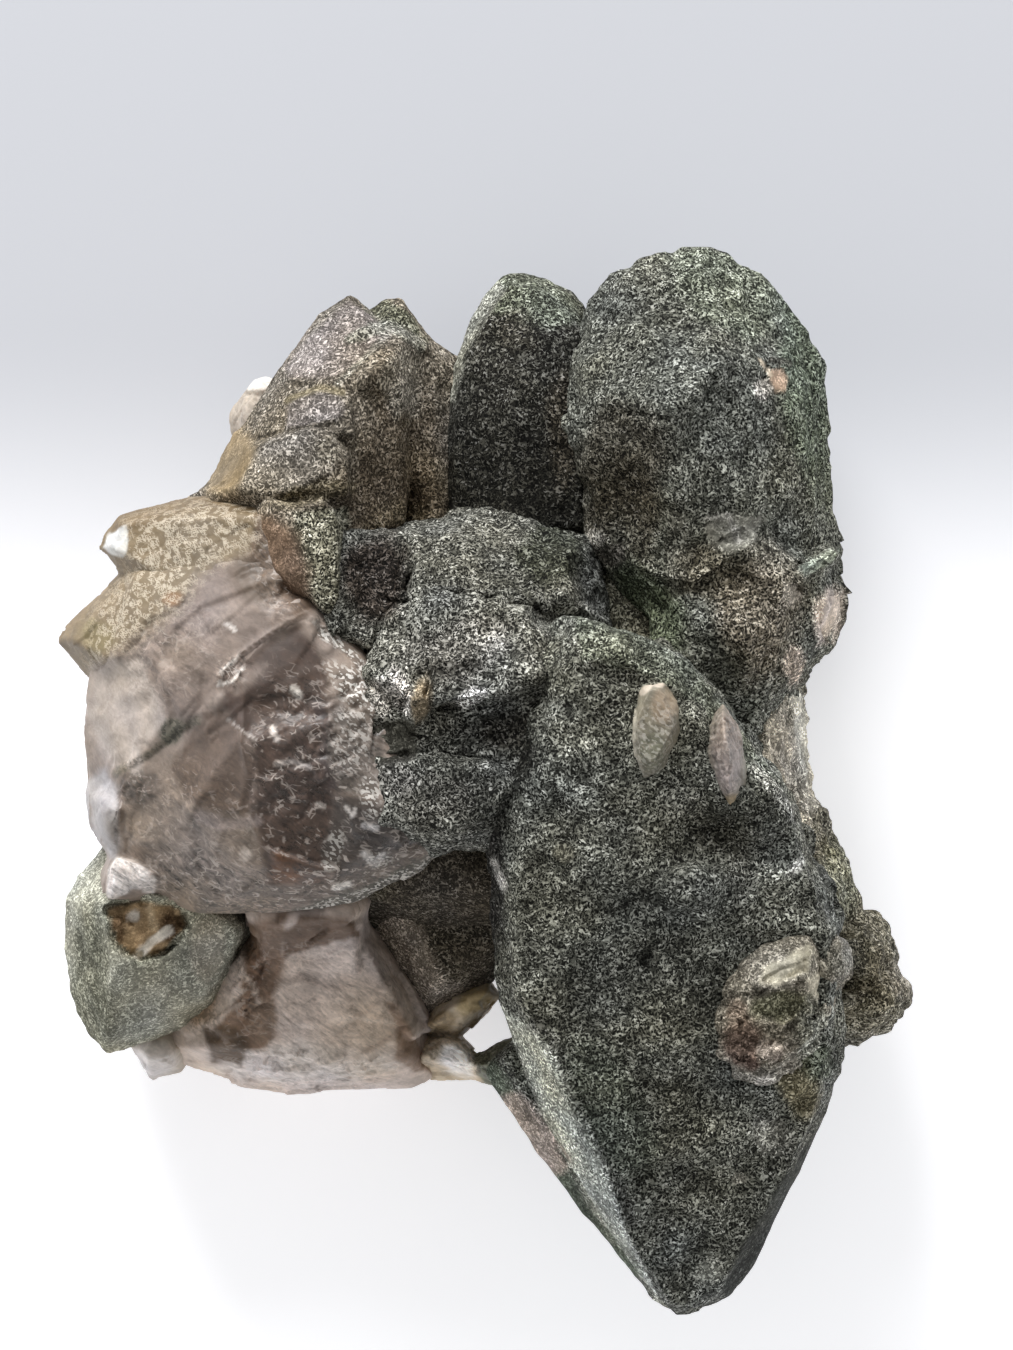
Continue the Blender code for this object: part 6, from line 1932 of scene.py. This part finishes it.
marked(plate, [
    (HACKLE, 0.4, patch, -14, -20, 9, 8), (HACKLE, 0.7, patch, -20.4, -17, 2, 4),
    (DUST, 0.5, patch, -24.5, -19.5, 1.4, 2.2),
])
finish_piece(plate, milky_plate)

# %% [markdown]
# ## The dark crystal, the rim and the small crystals
#
# The dark crystal set back above the plate wears a thin crust. The rim and the two halves of its bridge
# leave the small gap that one sees through. The glints and the spindles are bare quartz, so small that
# they need a finer skin than the rest.

# %% Recessed crystal, rim and small crystals
recess = grown_piece("dark_crystal", {"dark_crystal": LOWER_LEFT["dark_crystal"]}, 0.34)
fractured(recess, 8, [(6, 0.05, 0.1)], [(crease, [(-5.4, -8), (-5, -13), (-4.6, -17)], 0.5, 0.25)])
painted(recess, (128, 118, 106, 0.5), [
    # Its dark front is partly dark crust and partly painted shade of its recess.
    ((60, 55, 45, 0.85), 0.95, area, [(-6, -8), (3, -5), (3, -17), (-3.6, -17.2), (-5.4, -13)], 0.6),
    ((46, 42, 35, 0.7), 0.85, patch, -5.8, -9.2, 3.6, 1.8, -15),
    ((42, 38, 32, 0.85), 0.8, patch, -0.6, -9, 2.6, 2.4),
    ((86, 78, 66, 0.6), 0.7, patch, -1, -15.6, 2.4, 1.8, 30),
])
finish_piece(recess, chlorite)

BRIDGE = LOWER_LEFT["bridge"]
BRIDGE_TIP = {
    **BRIDGE,
    "rim": [
        (-7, -22, 8), (-3, -21.5, 10), (-1.9, -22.4, 11), (-1, -23.6, 12), (-1.2, -25.4, 11), (-6, -25.6, 8),
    ],
    "face": [(-4, -22.4, 14.2), (-2.2, -22.6, 14), (-1.6, -24.2, 14), (-5.6, -23.6, 14)],
}
BRIDGE_FOOT = {
    **BRIDGE,
    "rim": [
        (-1.4, -23.7, 12), (1.5, -22.2, 14), (3.4, -21.8, 15), (3, -27, 14), (0, -25.5, 12),
        (-1.6, -25.2, 11),
    ],
    "face": [(-1, -24.3, 14.4), (1.8, -23.6, 17.6)],
}
rim = grown_piece("rim_crystal", {
    "rim_crystal": LOWER_LEFT["rim_crystal"], "tip": BRIDGE_TIP, "foot": BRIDGE_FOOT,
}, 0.2, 16.0)
fractured(rim, 9, [(3, 0.1, 0.1), (1.2, 0.1, 0.04)])
painted(rim, (196, 178, 152, 0.95), [
    ((244, 238, 232), 1, patch, -2.6, -23.9, 1.9, 1.3, -30),
    ((110, 112, 96), 1, area, [
        (-1.2, -23.4), (1.2, -21.6), (4, -21), (4, -28), (0.4, -27), (-0.9, -25.2),
    ], 0.2),
    ((186, 160, 112, 0.95), 0.9, patch, -1, -18.6, 2, 1.2, 30),
    ((158, 134, 98, 0.95), 0.85, patch, -4, -20.6, 1.4, 1, 30),
    ((150, 124, 84, 0.95), 0.7, band, [(0.6, -19.2), (-2.4, -21.8)], 0.4),
])
marked(rim, [
    (HACKLE, 0.8, patch, -3, -22.5, 4, 2), (DUST, 0.8, patch, 0.8, -23.8, 2, 1.6),
    (DUST, 0.4, patch, -4.6, -20.6, 1.4, 1.2),
])
finish_piece(rim, amber)

glints = grown_piece("small_clear_crystals", {
    "white_crystal": SPIRE["white_crystal"], "clear_foot": LOWER_LEFT["clear_foot"],
}, 0.2, 20.0)
fractured(glints, 7, [(3.4, 0.07, 0.06)], [(ledge, [(-22, 33.4), (-18, 33.2)], 0.5, 1.5)])
painted(glints, (178, 166, 152, 0.9), [
    ((222, 218, 212, 0.95), 0.9, patch, -20, 34.2, 2.4, 0.8),
    ((216, 208, 204, 0.8), 0.9, patch, -28.6, -24, 2, 2),
])
marked(glints, [(HACKLE, 0.2, patch, -20, 31, 3, 4)])
finish_piece(glints, milky_plate)

spindles = grown_piece(
    "spindle_crystals", {name: ON_GREAT_CRYSTAL[name] for name in ("spindle_left", "spindle_right")},
    0.15, 14.0, 0.45,
)

# Both are slimmed about their middles and lifted; the right one has growth lines across it.
MIDDLES, SLIMMER = np.array([[14.1, 4.4], [19.9, 2.2]]), np.array([[0.92, 0.92], [0.94, 0.88]])
LIFT, LINE_HEIGHT, LINE_SPACING = 0.8, 0.06, 0.6
points = read_points(spindles.data)
on_right = (points[:, 0] > 17.5).astype(int)
points[:, :2] = MIDDLES[on_right] + (points[:, :2] - MIDDLES[on_right]) * SLIMMER[on_right]
along, _ = turned(points, 19.9, 2.2, -80)
points[:, 2] += LIFT + LINE_HEIGHT * np.sin(along * 2 * math.pi / LINE_SPACING) * on_right
write_points(spindles.data, points)
fractured(spindles, 12, [(1.6, 0.08, 0.04), (0.7, 0.08, 0.02)])
painted(spindles, (122, 118, 106, 0.95), [
    ((150, 134, 116, 0.95), 0.8, patch, 14.8, 6.4, 1.2, 1.6),
    ((188, 178, 168), 0.85, band, [(13, 7.6), (13.8, 8.4), (14.6, 8.3)], 0.26),
    ((104, 106, 93, 0.95), 0.9, patch, 13.7, 2.6, 1.6, 2.2),
    ((134, 123, 118, 0.95), 0.9, patch, 20.2, 2.4, 1.9, 4.2),
    ((154, 136, 104, 0.95), 0.8, patch, 20.6, -1.6, 0.8, 0.8),
    ((176, 172, 162), 0.7, band, [(12.4, 6), (12.3, 3), (13, 0.8)], 0.2),
])
marked(spindles, [
    (HACKLE, 0.5, patch, 14, 4, 2, 4), (HACKLE, 0.6, patch, 20, 2, 2, 4), (SUGAR, 0.25, patch, 14, 4, 2, 4),
])
finish_piece(spindles, milky_plate)

# %% [markdown]
# ## Floor and light
#
# The floor is plain and pale, a little greyer beyond the top of the stone. The stone is dark where it
# faces the camera and lighter where it turns away, because its surroundings are white and the room
# behind the camera is dim. So the sky is bright near the floor and dim overhead, brightest beyond the
# top of the stone, with one wide soft panel there.

# %% Studio
FLOOR_HALF = 6.0
NEAR_FLOOR, FAR_FLOOR = (0.84, 0.84, 0.86, 1.0), (0.40, 0.41, 0.44, 1.0)
NEAR_GLOW, FAR_GLOW = (1.02, 1.03, 1.07, 1.0), (0.38, 0.39, 0.42, 1.0)
floor_corners = [(x * FLOOR_HALF, y * FLOOR_HALF, 0) for x, y in ((-1, -1), (1, -1), (1, 1), (-1, 1))]
floor_mesh = bpy.data.meshes.new("floor")
floor_mesh.from_pydata(floor_corners, [], [(0, 1, 2, 3)])
floor = bpy.data.objects.new("floor", floor_mesh)
bpy.context.scene.collection.objects.link(floor)
floor_material, floor_tree, floor_surface = new_material("pale_floor")
far = node(floor_tree, "ShaderNodeSeparateXYZ", {}, {0: object_place(floor_tree)}, 1).step(-4.0, 40.0)
plug(floor_surface, "Base Color", blend(far, NEAR_FLOOR, FAR_FLOOR))
# The floor also glows, more on the near side than beyond the top of the stone: it keeps the floor white and
# lights the stone softly from below.
plug(floor_surface, "Emission Color", blend(far, NEAR_GLOW, FAR_GLOW))
floor_surface.inputs["Roughness"].default_value = 0.9
floor_surface.inputs["Emission Strength"].default_value = 0.5
floor_mesh.materials.append(floor_material)

world = bpy.data.worlds.new("studio")
bpy.context.scene.world = world
world.use_nodes = True
sky_tree = world.node_tree
sky = sky_tree.nodes["Background"]
direction = node(sky_tree, "ShaderNodeTexCoord", {}, {}, 0)
beyond, up = [node(sky_tree, "ShaderNodeSeparateXYZ", {}, {0: direction}, axis) for axis in (1, 2)]
brightness = 0.36 + (1.0 - up.step(0.05, 0.75)) * 0.7 + beyond.step(-0.2, 1.0) * 0.35
plug(sky, "Strength", brightness)
sky.inputs["Color"].default_value = (1.0, 0.995, 0.975, 1.0)


STONE_MIDDLE = (0, 0, 0.02)


def soft_panel(name, place, size, power):
    """A square soft light at a place in metres, turned towards the stone."""
    light = bpy.data.lights.new(name, "AREA")
    light.size = size
    light.energy = power
    holder = bpy.data.objects.new(name, light)
    holder.location = place
    towards = Vector(STONE_MIDDLE) - holder.location
    holder.rotation_euler = towards.to_track_quat("-Z", "Y").to_euler()
    bpy.context.scene.collection.objects.link(holder)


soft_panel("beyond_the_top", (-0.25, 0.9, 0.45), 0.5, 15.0)
